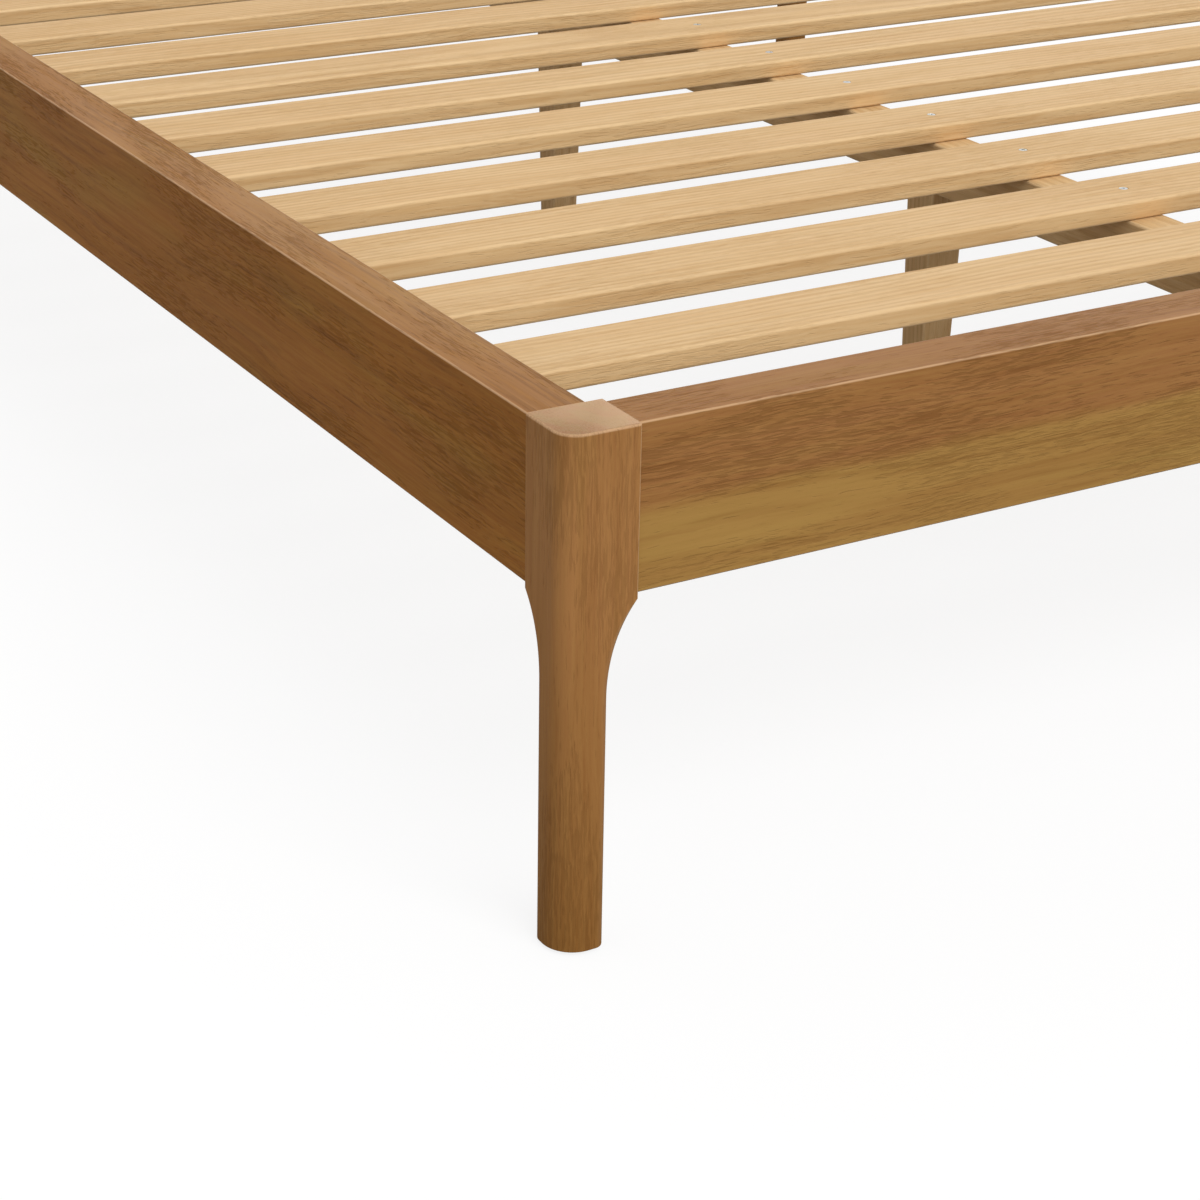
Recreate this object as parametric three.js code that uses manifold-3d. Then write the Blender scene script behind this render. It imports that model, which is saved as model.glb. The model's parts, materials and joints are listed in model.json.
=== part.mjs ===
// Wooden bed frame, in millimetres. +Z is up, +Y runs from the foot to the head, and +X is to the
// right as seen from the foot. The origin is on the floor, at the middle of the frame's plan.

import * as THREE from 'three';
import { mergeVertices } from 'three/addons/utils/BufferGeometryUtils.js';
import Module from 'manifold-3d';

const wasm = await Module();
wasm.setup();

// Mattress that the frame is made for, and the play left round it on every side.
const mattressWidth = 1530;
const mattressLength = 2030;
const mattressPlay = 6;

// Clearances.
const fit = 0.3; // between wooden pieces that seat on or in each other
const boltPlay = 0.5; // round a bolt or a stud in its hole
const blindGap = 1; // past the end of a tenon, a pin or a bolt in its hole

// Rails of the side, the foot and the head, all of one section.
const railHeight = 122;
const railThickness = 45;
const railRound = 1.5; // radius of the rails' long edges
const sideReveal = 0.5; // a side rail's face behind the side of its posts
const endReveal = 2.5; // the foot and head rails' faces behind the ends of their posts

// Posts. Each is one piece with its leg: the leg keeps the two outer faces and loses wood on the two
// inner ones, along a hollow arc.
const postWidth = 58; // across the bed
const postDepth = 52; // along the bed
const legWidth = 38;
const legDepth = 37;
const legLength = 268; // foot of the leg to the underside of the rails
const cornerRadius = 17; // outer corner of the post
const legCornerRadius = 24; // outer corner at the foot, less and less towards the post
const edgeRadius = 1.2; // other upright edges of the post
const legEdgeRadius = 8; // other upright edges of the leg
const leastEdge = 0.3; // what is left of an edge's radius inside the rounded top
const edgeSharpening = 1.85; // how late along the arc these edges get the post's radius
const topRound = 2; // edges round the top
const footRound = 0.5; // edges round the foot
const flareRadius = 136; // hollow arc from the leg to the post
const flareDrop = 3.2; // start of the arc below the rails
const headPostHeight = 950;

// Glides nailed under the legs.
const glideThickness = 3;
const glideRadius = 10;
const glideEdge = 1; // chamfer round the floor side
const glidePinRadius = 2;
const glidePinLength = 16;
const glidePinPoint = 4;

// Tenons of the foot and head rails, and the stub tenons of the side rails.
const tenonLength = 25;
const tenonThickness = 20;
const tenonShoulder = 15; // above and below the tenon
const stubLength = 10;
const stubThickness = 20;
const stubHeight = 30;

// Knock-down bolts of the side rails, two at each end, tightened in half-moon pockets.
const boltRadius = 4;
const boltSpacing = 60;
const boltHeadRadius = 6.5;
const boltHeadHeight = 8;
const boltSocketRadius = 3.4;
const boltSocketDepth = 5;
const boltHeadEdge = 0.6;
const boltReach = 26; // into the post
const threadEnd = 1; // chamfer at the end of a bolt or a stud
const pocketWall = 24; // wood between the rail's end and the pocket
const pocketRadius = 16;
const pocketPastBolt = 9; // pocket's floor beyond the bolt's axis

// Slats, the ledges that carry their ends and the beam that carries their middles.
const slatCount = 14;
const slatWidth = 75;
const slatThickness = 18;
const slatRound = 3;
const slatEndPlay = 3;
const slatDrop = 50; // top of the slats below the top of the rails
const firstSlatGap = 40; // between the end rails and the nearest slats
const ledgeWidth = 30;
const ledgeHeight = 30;
const ledgeRound = 2;
const ledgeClear = 6; // between a pocket and the end of the ledge
const beamWidth = 42;
const beamHeight = 50;
const beamRound = 3;
const beamEndPlay = 1;

// Steel hangers on the foot and head rails, which hold the ends of the beam.
const hangerSheet = 2.5;
const hangerReach = 38;
const hangerHeight = 46;
const hangerFlange = 20;
const hangerBend = 2; // inside radius of the bends
const hangerHoleRadius = 2.4;
const hangerHoleSpacing = 26;

// Centre legs under the beam, their bolts, and the levelling feet screwed into them.
const centreLegSpacing = 760;
const centreLegTop = 42;
const centreLegFoot = 32;
const legBoltRadius = 4;
const legBoltUp = 25;
const legBoltDown = 35;
const legBoltPoint = 3;
const levellerStand = 15; // foot of the centre leg above the floor
const padRadius = 16;
const padThickness = 5;
const padRound = 1.5;
const collarRadius = 6.5;
const collarTop = 9;
const studRadius = 4;
const studTop = 42;
const studTravelRoom = 8; // free hole above the stud

// Headboard.
const crestThickness = 30;
const crestEndHeight = 85;
const crestRise = 25; // middle of the arched top above its ends
const crestDrop = 12; // ends of the arch below the tops of the posts
const crestRound = 4;
const crestTenonLength = 25;
const crestTenonThickness = 14;
const crestTenonShoulder = 15;
const spindleCount = 11;
const spindleWidth = 45;
const spindleThickness = 16;
const spindleRound = 4;
const spindleTenonWidth = 33;
const spindleTenonThickness = 8;
const spindleTenonLength = 15;

// Worked out from the sizes above.
const railInset = sideReveal + railThickness;
const endRailInset = endReveal + railThickness;
const frameWidth = mattressWidth + 2 * (mattressPlay + railInset);
const frameLength = mattressLength + 2 * (mattressPlay + endRailInset);
const legFoot = glideThickness;
const railBottom = legFoot + legLength;
const railTop = railBottom + railHeight;
const railMiddle = railBottom + railHeight / 2;
const flareTop = railBottom - flareDrop;
const innerWidth = frameWidth - 2 * railInset;
const innerLength = frameLength - 2 * endRailInset;
const sideRailLength = frameLength - 2 * (postDepth + fit);
const endRailLength = frameWidth - 2 * (postWidth + fit);
const sideRailAxis = sideReveal + railThickness / 2;
const endRailAxis = endReveal + railThickness / 2;
const tenonHeight = railHeight - 2 * tenonShoulder;
const slatTop = railTop - slatDrop;
const slatBottom = slatTop - slatThickness;
const bearingTop = slatBottom - fit; // top of the ledges and the beam
const beamBottom = bearingTop - beamHeight;
const crestBottom = headPostHeight - crestDrop - crestEndHeight;
const crestTenonHeight = crestEndHeight - 2 * crestTenonShoulder;
const headPlane = postDepth / 2; // middle of the crest rail and spindles, from the back
// Curve steps. three.js gives an arc in a shape twice as many facets as its steps.
const roundSteps = 2; // small rounded edges
const archSteps = 12;
const bevelSteps = 2;
const cornerSteps = 10; // facets of a post's outer corner
const edgeSteps = 4; // facets of its other corners
const flareSteps = 10; // rings up the hollow arc
const turnedFacets = 20;
const boltFacets = 12;
const holeFacets = 16;
const past = 5; // how far a cutter runs out of the wood

const materials = {
  post: { color: 0xa87646, roughness: 0.55, metalness: 0 },
  rail: { color: 0xa47443, roughness: 0.55, metalness: 0 },
  headboard: { color: 0xa97845, roughness: 0.55, metalness: 0 },
  slat: { color: 0xd2b083, roughness: 0.75, metalness: 0 },
  beam: { color: 0xcaa676, roughness: 0.75, metalness: 0 },
  zinc: { color: 0xb4b6b8, roughness: 0.35, metalness: 1 },
  blackSteel: { color: 0x26272a, roughness: 0.5, metalness: 0.9 },
  glide: { color: 0x6b5238, roughness: 0.6, metalness: 0 },
  levelPad: { color: 0x1d1d1f, roughness: 0.6, metalness: 0 },
};

// --- Solids ---

// One closed solid from a geometry: shared corners are merged, triangles without area are left out,
// and the faces are turned to point outwards, whichever way the outline ran.
function solidOf(geometry) {
  const bare = geometry.clone();
  bare.deleteAttribute('normal');
  bare.deleteAttribute('uv');
  const merged = mergeVertices(bare, 1e-4);
  const points = merged.attributes.position;
  const corners = [0, 1, 2].map(() => new THREE.Vector3());
  const triangles = [];
  let volume = 0;
  for (let i = 0; i < merged.index.count; i += 3) {
    const ids = [0, 1, 2].map((k) => merged.index.getX(i + k));
    if (ids[0] === ids[1] || ids[1] === ids[2] || ids[2] === ids[0]) continue;
    ids.forEach((id, k) => corners[k].fromBufferAttribute(points, id));
    volume += corners[0].dot(corners[1].clone().cross(corners[2]));
    triangles.push(ids);
  }
  const ordered = volume < 0 ? triangles.map(([a, b, c]) => [a, c, b]) : triangles;
  return new wasm.Manifold(new wasm.Mesh({
    numProp: 3,
    vertProperties: new Float32Array(points.array),
    triVerts: new Uint32Array(ordered.flat()),
  }));
}

function geometryOf(solid) {
  const { vertProperties, triVerts } = solid.getMesh();
  const geometry = new THREE.BufferGeometry();
  geometry.setAttribute('position', new THREE.BufferAttribute(new Float32Array(vertProperties), 3));
  geometry.setIndex(new THREE.BufferAttribute(new Uint32Array(triVerts), 1));
  return geometry;
}

function without(solid, cutters) {
  return cutters.reduce((rest, cutter) => rest.subtract(cutter), solid);
}

function block([x0, x1], [y0, y1], [z0, z1]) {
  const geometry = new THREE.BoxGeometry(x1 - x0, y1 - y0, z1 - z0);
  geometry.translate((x0 + x1) / 2, (y0 + y1) / 2, (z0 + z1) / 2);
  return solidOf(geometry);
}

// Rectangle from (0, 0) to (width, height), with a radius for each corner, counted from (0, 0)
// towards (width, 0) and on round.
function roundedRectangle(width, height, radii) {
  const [r0, r1, r2, r3] = Array.isArray(radii) ? radii : Array(4).fill(radii);
  const shape = new THREE.Shape();
  const quarter = Math.PI / 2;
  shape.moveTo(r0, 0);
  shape.lineTo(width - r1, 0);
  if (r1 > 0) shape.absarc(width - r1, r1, r1, -quarter, 0, false);
  shape.lineTo(width, height - r2);
  if (r2 > 0) shape.absarc(width - r2, height - r2, r2, 0, quarter, false);
  shape.lineTo(r3, height);
  if (r3 > 0) shape.absarc(r3, height - r3, r3, quarter, 2 * quarter, false);
  shape.lineTo(0, r0);
  if (r0 > 0) shape.absarc(r0, r0, r0, 2 * quarter, 3 * quarter, false);
  return shape;
}

const axisX = new THREE.Vector3(1, 0, 0);
const axisY = new THREE.Vector3(0, 1, 0);
const axisZ = new THREE.Vector3(0, 0, 1);

// Outline in (y, z), run along X from `from` over `length`.
function runAlongX(shape, from, length, options = {}) {
  const geometry = new THREE.ExtrudeGeometry(shape, {
    depth: length, bevelEnabled: false, curveSegments: roundSteps, ...options,
  });
  geometry.applyMatrix4(new THREE.Matrix4().makeBasis(axisY, axisZ, axisX));
  geometry.translate(from, 0, 0);
  return solidOf(geometry);
}

// Outline in (x, z), run along Y from `from` over `length`.
function runAlongY(shape, from, length, options = {}) {
  const geometry = new THREE.ExtrudeGeometry(shape, {
    depth: length, bevelEnabled: false, curveSegments: roundSteps, ...options,
  });
  geometry.applyMatrix4(new THREE.Matrix4().makeBasis(axisX, axisZ, axisY.clone().negate()));
  geometry.translate(0, from + length, 0);
  return solidOf(geometry);
}

// Outline in (x, y), run up from `from` over `length`.
function runUp(shape, from, length, options = {}) {
  const geometry = new THREE.ExtrudeGeometry(shape, {
    depth: length, bevelEnabled: false, curveSegments: roundSteps, ...options,
  });
  geometry.translate(0, 0, from);
  return solidOf(geometry);
}

// Closed solid through rings of as many points each, lowest first.
function lofted(rings) {
  const count = rings[0].length;
  const top = (rings.length - 1) * count;
  const index = [];
  for (let start = 0; start < top; start += count) {
    for (let i = 0; i < count; i += 1) {
      const [a, b] = [start + i, start + (i + 1) % count];
      index.push(a, b, b + count, a, b + count, a + count);
    }
  }
  for (let i = 1; i + 1 < count; i += 1) {
    index.push(0, i + 1, i, top, top + i, top + i + 1);
  }
  const geometry = new THREE.BufferGeometry().setFromPoints(rings.flat());
  geometry.setIndex(index);
  return solidOf(geometry);
}

// Solid of revolution about an upright axis, from [radius, height] pairs that start and end on it.
function turned(profile, segments = turnedFacets) {
  const points = profile.map(([radius, height]) => new THREE.Vector2(radius, height));
  const geometry = new THREE.LatheGeometry(points, segments);
  geometry.rotateX(Math.PI / 2);
  return geometry;
}

// Round hole cutter along Y.
function holeAlongY(x, z, radius, [y0, y1]) {
  const geometry = new THREE.CylinderGeometry(radius, radius, y1 - y0, holeFacets);
  geometry.translate(x, (y0 + y1) / 2, z);
  return solidOf(geometry);
}

// Round hole cutter, upright.
function holeUp(x, y, radius, [z0, z1]) {
  const geometry = new THREE.CylinderGeometry(radius, radius, z1 - z0, holeFacets);
  geometry.rotateX(Math.PI / 2);
  geometry.translate(x, y, (z0 + z1) / 2);
  return solidOf(geometry);
}

// --- The frame as a scene graph ---

const bed = new THREE.Group();
bed.name = 'bed_frame';

// Adds one piece. `mirror` is [1 or -1, 1 or -1] for x and y, before the piece goes to its place.
function addPiece(name, solid, finish, place, mirror = [1, 1]) {
  let geometry = geometryOf(solid);
  geometry.scale(mirror[0], mirror[1], 1);
  if (mirror[0] * mirror[1] < 0) geometry = geometryOf(solidOf(geometry));
  geometry.computeVertexNormals();
  const mesh = new THREE.Mesh(geometry, new THREE.MeshStandardMaterial(materials[finish]));
  mesh.name = name;
  mesh.position.set(...place);
  bed.add(mesh);
}

const sides = [{ name: 'left', sign: -1 }, { name: 'right', sign: 1 }];
const ends = [{ name: 'foot', sign: -1 }, { name: 'head', sign: 1 }];

// --- Posts ---

// Plan outline of a post at one height. `outer` and `edge` are the radii of its outer corner and of
// its other corners, before the outline is moved inwards by `inset`.
function postRing(z, width, depth, outer, edge, inset = 0) {
  const corners = [
    [0, 0, outer, cornerSteps], [width, 0, edge, edgeSteps],
    [width, depth, edge, edgeSteps], [0, depth, edge, edgeSteps],
  ];
  return corners.flatMap(([x, y, radius, steps], turn) => {
    const reach = Math.max(radius - inset, leastEdge);
    const away = inset + reach;
    const [centreX, centreY] = [x > 0 ? x - away : away, y > 0 ? y - away : away];
    return Array.from({ length: steps + 1 }, (_, k) => {
      const angle = Math.PI + (turn + k / steps) * Math.PI / 2;
      return new THREE.Vector3(centreX + reach * Math.cos(angle), centreY + reach * Math.sin(angle), z);
    });
  });
}

// A post in its corner's own frame: x runs inwards from its side face, y from its end face.
function postSolid(top) {
  const arcHeight = (lost) => Math.sqrt(flareRadius ** 2 - (flareRadius - lost) ** 2);
  const arcGain = (rise) => flareRadius - Math.sqrt(flareRadius ** 2 - Math.max(rise, 0) ** 2);
  const acrossFoot = flareTop - arcHeight(postWidth - legWidth);
  const alongFoot = flareTop - arcHeight(postDepth - legDepth);
  const section = (z, inset = 0) => {
    const across = arcGain(Math.min(z, flareTop) - acrossFoot);
    const along = arcGain(Math.min(z, flareTop) - alongFoot);
    const share = Math.min(across / (postWidth - legWidth), 1) ** edgeSharpening;
    const climb = Math.min((z - legFoot) / (flareTop - legFoot), 1);
    return postRing(
      z, legWidth + across, legDepth + along, THREE.MathUtils.lerp(legCornerRadius, cornerRadius, climb),
      THREE.MathUtils.lerp(legEdgeRadius, edgeRadius, share), inset,
    );
  };
  const rings = [section(legFoot, footRound), section(legFoot + footRound)];
  for (let k = 0; k <= flareSteps; k += 1) {
    rings.push(section(THREE.MathUtils.lerp(acrossFoot, flareTop, k / flareSteps)));
  }
  for (let k = 0; k <= bevelSteps; k += 1) {
    const angle = k / bevelSteps * Math.PI / 2;
    rings.push(section(top - topRound * (1 - Math.sin(angle)), topRound * (1 - Math.cos(angle))));
  }
  return lofted(rings);
}

// Mortises, bolt holes and the glide's hole, in the same frame as the post.
function postCuts(end) {
  const railMortise = block(
    [postWidth - tenonLength - blindGap, postWidth + past],
    [endRailAxis - tenonThickness / 2 - fit, endRailAxis + tenonThickness / 2 + fit],
    [railMiddle - tenonHeight / 2 - fit, railMiddle + tenonHeight / 2 + fit],
  );
  const stubMortise = block(
    [sideRailAxis - stubThickness / 2 - fit, sideRailAxis + stubThickness / 2 + fit],
    [postDepth - stubLength - blindGap, postDepth + past],
    [railMiddle - stubHeight / 2 - fit, railMiddle + stubHeight / 2 + fit],
  );
  const boltHoles = [-1, 1].map((k) => holeAlongY(
    sideRailAxis, railMiddle + k * boltSpacing / 2, boltRadius + boltPlay,
    [postDepth - boltReach - blindGap, postDepth + past],
  ));
  const glideHole = holeUp(
    legWidth / 2, legDepth / 2, glidePinRadius + boltPlay,
    [legFoot - past, legFoot + glidePinLength + blindGap],
  );
  const cuts = [railMortise, stubMortise, ...boltHoles, glideHole];
  if (end.name === 'head') {
    const middle = crestBottom + crestEndHeight / 2;
    cuts.push(block(
      [postWidth - crestTenonLength - blindGap, postWidth + past],
      [headPlane - crestTenonThickness / 2 - fit, headPlane + crestTenonThickness / 2 + fit],
      [middle - crestTenonHeight / 2 - fit, middle + crestTenonHeight / 2 + fit],
    ));
  }
  return cuts;
}

function addPosts() {
  for (const end of ends) {
    const top = end.name === 'head' ? headPostHeight : railTop;
    const post = without(postSolid(top), postCuts(end));
    for (const side of sides) {
      const place = [side.sign * frameWidth / 2, end.sign * frameLength / 2, 0];
      addPiece(`${end.name}_post_${side.name}`, post, 'post', place, [-side.sign, -end.sign]);
    }
  }
}

// --- Glides ---

function addGlides() {
  const seat = glideThickness - fit;
  const pinTop = glideThickness + glidePinLength;
  const glide = solidOf(turned([
    [0, 0], [glideRadius - glideEdge, 0], [glideRadius, glideEdge], [glideRadius, seat],
    [glidePinRadius, seat], [glidePinRadius, pinTop - glidePinPoint], [0, pinTop],
  ]));
  for (const end of ends) {
    for (const side of sides) {
      const place = [
        side.sign * (frameWidth - legWidth) / 2, end.sign * (frameLength - legDepth) / 2, 0,
      ];
      addPiece(`glide_${end.name}_${side.name}`, glide, 'glide', place);
    }
  }
}

// --- Rails ---

// Section of a rail, from its outer face inwards.
function railSection() {
  return roundedRectangle(railThickness, railHeight, railRound);
}

// Half-moon pocket in a side rail's inner face, and the bolt's hole from it to the rail's end. The
// pocket is flat towards the end, and the bolt's head bears there.
function pocketCutters(end, k) {
  const wallAt = sideRailLength / 2 - pocketWall;
  const height = railHeight / 2 + k * boltSpacing / 2;
  const turn = end.sign > 0 ? Math.PI / 2 : -Math.PI / 2;
  const halfMoon = new THREE.Shape();
  halfMoon.absarc(end.sign * wallAt, height, pocketRadius, turn, turn + Math.PI, false);
  const floor = railThickness / 2 - pocketPastBolt;
  const pocket = runAlongX(halfMoon, floor, railThickness - floor + past, { curveSegments: archSteps });
  const holeEnds = [end.sign * (wallAt - pocketRadius / 2), end.sign * (sideRailLength / 2 + past)];
  const hole = holeAlongY(
    railThickness / 2, height, boltRadius + boltPlay, [Math.min(...holeEnds), Math.max(...holeEnds)],
  );
  return [pocket, hole];
}

// A side rail, in a frame with x inwards from its outer face and z up from its underside.
function sideRailSolid() {
  const halfLength = sideRailLength / 2;
  const board = runAlongY(railSection(), -halfLength, sideRailLength);
  const stubs = block(
    [(railThickness - stubThickness) / 2, (railThickness + stubThickness) / 2],
    [-halfLength - fit - stubLength, halfLength + fit + stubLength],
    [(railHeight - stubHeight) / 2, (railHeight + stubHeight) / 2],
  );
  const cutters = ends.flatMap((end) => [-1, 1].flatMap((k) => pocketCutters(end, k)));
  return without(board.add(stubs), cutters);
}

// A foot or head rail, in a frame with y inwards from its outer face and z up from its underside.
function endRailSolid() {
  const halfLength = endRailLength / 2;
  const board = runAlongX(railSection(), -halfLength, endRailLength);
  const tenons = block(
    [-halfLength - fit - tenonLength, halfLength + fit + tenonLength],
    [(railThickness - tenonThickness) / 2, (railThickness + tenonThickness) / 2],
    [tenonShoulder, railHeight - tenonShoulder],
  );
  return board.add(tenons);
}

// Middles of the spindles across the bed: equal gaps, also beside the posts.
function spindlePlaces() {
  const clear = frameWidth - 2 * postWidth;
  const gap = (clear - spindleCount * spindleWidth) / (spindleCount + 1);
  const pitch = spindleWidth + gap;
  return Array.from({ length: spindleCount }, (_, i) => (i - (spindleCount - 1) / 2) * pitch);
}

// Mortises for the spindles over a range of heights, on the middle line of the crest rail.
function spindleMortises(y, [z0, z1]) {
  const halfWidth = spindleTenonWidth / 2 + fit;
  const halfThickness = spindleTenonThickness / 2 + fit;
  return spindlePlaces().map((x) => block(
    [x - halfWidth, x + halfWidth], [y - halfThickness, y + halfThickness], [z0, z1],
  ));
}

function addRails() {
  const sideRail = sideRailSolid();
  for (const side of sides) {
    const place = [side.sign * (frameWidth / 2 - sideReveal), 0, railBottom];
    addPiece(`side_rail_${side.name}`, sideRail, 'rail', place, [-side.sign, 1]);
  }
  const endRail = endRailSolid();
  addPiece('foot_rail', endRail, 'rail', [0, -frameLength / 2 + endReveal, railBottom]);
  const sockets = spindleMortises(
    headPlane - endReveal, [railHeight - spindleTenonLength - blindGap, railHeight + past],
  );
  const headRail = without(endRail, sockets);
  addPiece('head_rail', headRail, 'rail', [0, frameLength / 2 - endReveal, railBottom], [1, -1]);
}

// --- Headboard ---

// Crest rail with an arched top, in a frame with z up from its underside.
function crestSolid() {
  const halfLength = endRailLength / 2;
  const radius = (halfLength ** 2 + crestRise ** 2) / (2 * crestRise);
  const halfTurn = Math.asin(halfLength / radius);
  const centre = crestEndHeight + crestRise - radius;
  const overrun = past / radius;
  const arch = new THREE.Shape();
  arch.moveTo(-halfLength - past, 0);
  arch.lineTo(halfLength + past, 0);
  arch.absarc(
    0, centre, radius, Math.PI / 2 - halfTurn - overrun, Math.PI / 2 + halfTurn + overrun, false,
  );
  const board = runAlongY(arch, -crestThickness / 2 + crestRound, crestThickness - 2 * crestRound, {
    curveSegments: archSteps, bevelEnabled: true, bevelThickness: crestRound, bevelSize: crestRound,
    bevelOffset: -crestRound, bevelSegments: bevelSteps,
  });
  const span = block(
    [-halfLength, halfLength], [-crestThickness, crestThickness],
    [-past, crestEndHeight + crestRise + past],
  );
  const tenons = block(
    [-halfLength - fit - crestTenonLength, halfLength + fit + crestTenonLength],
    [-crestTenonThickness / 2, crestTenonThickness / 2],
    [crestTenonShoulder, crestEndHeight - crestTenonShoulder],
  );
  return board.intersect(span).add(tenons);
}

function spindleSolid() {
  const length = crestBottom - railTop - 2 * fit;
  const section = roundedRectangle(spindleWidth, spindleThickness, spindleRound);
  const shaft = runUp(section, fit, length);
  const tenons = block(
    [(spindleWidth - spindleTenonWidth) / 2, (spindleWidth + spindleTenonWidth) / 2],
    [(spindleThickness - spindleTenonThickness) / 2, (spindleThickness + spindleTenonThickness) / 2],
    [-spindleTenonLength, length + 2 * fit + spindleTenonLength],
  );
  return shaft.add(tenons);
}

function addHeadboard() {
  const y = frameLength / 2 - headPlane;
  const sockets = spindleMortises(0, [-past, spindleTenonLength + blindGap]);
  addPiece('crest_rail', without(crestSolid(), sockets), 'headboard', [0, y, crestBottom]);
  const spindle = spindleSolid();
  spindlePlaces().forEach((x, i) => {
    const place = [x - spindleWidth / 2, y - spindleThickness / 2, railTop];
    addPiece(`spindle_${String(i + 1).padStart(2, '0')}`, spindle, 'headboard', place);
  });
}

// --- Knock-down bolts ---

// A socket-head bolt along Z, with the seat of its head at z = 0 and its shank upwards.
function boltGeometry() {
  const shank = pocketWall + fit + boltReach;
  const socketFloor = boltSocketDepth - boltHeadHeight;
  return turned([
    [0, socketFloor], [boltSocketRadius, socketFloor], [boltSocketRadius, -boltHeadHeight],
    [boltHeadRadius - boltHeadEdge, -boltHeadHeight],
    [boltHeadRadius, boltHeadEdge - boltHeadHeight], [boltHeadRadius, 0], [boltRadius, 0],
    [boltRadius, shank - threadEnd], [boltRadius - threadEnd, shank], [0, shank],
  ], boltFacets);
}

function addRailBolts() {
  const seat = sideRailLength / 2 - pocketWall - fit;
  for (const end of ends) {
    const bolt = boltGeometry();
    bolt.rotateX(end.sign > 0 ? -Math.PI / 2 : Math.PI / 2);
    const solid = solidOf(bolt);
    for (const side of sides) {
      ['lower', 'upper'].forEach((level, k) => {
        const place = [
          side.sign * (frameWidth / 2 - sideRailAxis), end.sign * seat,
          railMiddle + (k - 0.5) * boltSpacing,
        ];
        addPiece(`rail_bolt_${end.name}_${side.name}_${level}`, solid, 'zinc', place);
      });
    }
  }
}

// --- Slats, ledges and centre beam ---

function addLedges() {
  const halfLength = sideRailLength / 2 - pocketWall - pocketRadius - ledgeClear;
  const ledge = runAlongY(
    roundedRectangle(ledgeWidth, ledgeHeight, ledgeRound), -halfLength, 2 * halfLength,
  );
  for (const side of sides) {
    const place = [
      side.sign * (frameWidth / 2 - railInset - fit), 0, bearingTop - ledgeHeight,
    ];
    addPiece(`slat_ledge_${side.name}`, ledge, 'beam', place, [-side.sign, 1]);
  }
}

function addSlats() {
  const length = innerWidth - 2 * slatEndPlay;
  const slat = runAlongX(
    roundedRectangle(slatWidth, slatThickness, slatRound), -length / 2, length,
  );
  const firstMiddle = firstSlatGap + slatWidth / 2;
  const pitch = (innerLength - 2 * firstMiddle) / (slatCount - 1);
  for (let i = 0; i < slatCount; i += 1) {
    const middle = -innerLength / 2 + firstMiddle + i * pitch;
    const place = [0, middle - slatWidth / 2, slatBottom];
    addPiece(`slat_${String(i + 1).padStart(2, '0')}`, slat, 'slat', place);
  }
}

function centreLegPlaces() {
  return ends.map((end) => ({ name: end.name, y: end.sign * centreLegSpacing / 2 }));
}

function addBeam() {
  const length = innerLength - 2 * (fit + hangerSheet + beamEndPlay);
  const beam = runAlongY(
    roundedRectangle(beamWidth, beamHeight, beamRound), -length / 2, length,
  );
  const holes = centreLegPlaces().map(({ y }) => holeUp(
    beamWidth / 2, y, legBoltRadius + boltPlay, [-past, legBoltUp + blindGap],
  ));
  addPiece('centre_beam', without(beam, holes), 'beam', [-beamWidth / 2, 0, beamBottom]);
}

// A hanger: a bent trough that holds the beam, on a back plate with a flange at each side. Its frame
// has x across, y from the rail towards the beam, and z up from the trough's underside.
function hangerSolid() {
  const inside = beamWidth / 2 + fit;
  const outside = inside + hangerSheet;
  const bendOut = hangerBend + hangerSheet;
  const trough = new THREE.Shape();
  trough.moveTo(-outside, hangerHeight);
  trough.lineTo(-outside, bendOut);
  trough.absarc(-outside + bendOut, bendOut, bendOut, Math.PI, 1.5 * Math.PI, false);
  trough.lineTo(outside - bendOut, 0);
  trough.absarc(outside - bendOut, bendOut, bendOut, 1.5 * Math.PI, 2 * Math.PI, false);
  trough.lineTo(outside, hangerHeight);
  trough.lineTo(inside, hangerHeight);
  trough.lineTo(inside, bendOut);
  trough.absarc(inside - hangerBend, bendOut, hangerBend, 0, -Math.PI / 2, true);
  trough.lineTo(-inside + hangerBend, hangerSheet);
  trough.absarc(-inside + hangerBend, bendOut, hangerBend, -Math.PI / 2, -Math.PI, true);
  trough.lineTo(-inside, hangerHeight);
  const plateWidth = 2 * (outside + hangerFlange);
  const plate = roundedRectangle(plateWidth, hangerHeight, hangerBend);
  for (const across of [-1, 1]) {
    for (const up of [-1, 1]) {
      const hole = new THREE.Path();
      hole.absarc(
        plateWidth / 2 + across * (outside + hangerFlange / 2),
        hangerHeight / 2 + up * hangerHoleSpacing / 2, hangerHoleRadius, 0, 2 * Math.PI, true,
      );
      plate.holes.push(hole);
    }
  }
  const backGeometry = new THREE.ExtrudeGeometry(plate, {
    depth: hangerSheet, bevelEnabled: false, curveSegments: roundSteps * 2,
  });
  backGeometry.applyMatrix4(new THREE.Matrix4().makeBasis(axisX, axisZ, axisY.clone().negate()));
  backGeometry.translate(-plateWidth / 2, hangerSheet, 0);
  return solidOf(backGeometry).add(runAlongY(trough, 0, hangerReach));
}

function addHangers() {
  const hanger = hangerSolid();
  for (const end of ends) {
    const place = [0, end.sign * (innerLength / 2 - fit), beamBottom - fit - hangerSheet];
    addPiece(`beam_hanger_${end.name}`, hanger, 'blackSteel', place, [1, -end.sign]);
  }
}

// --- Centre legs and levelling feet ---

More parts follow.
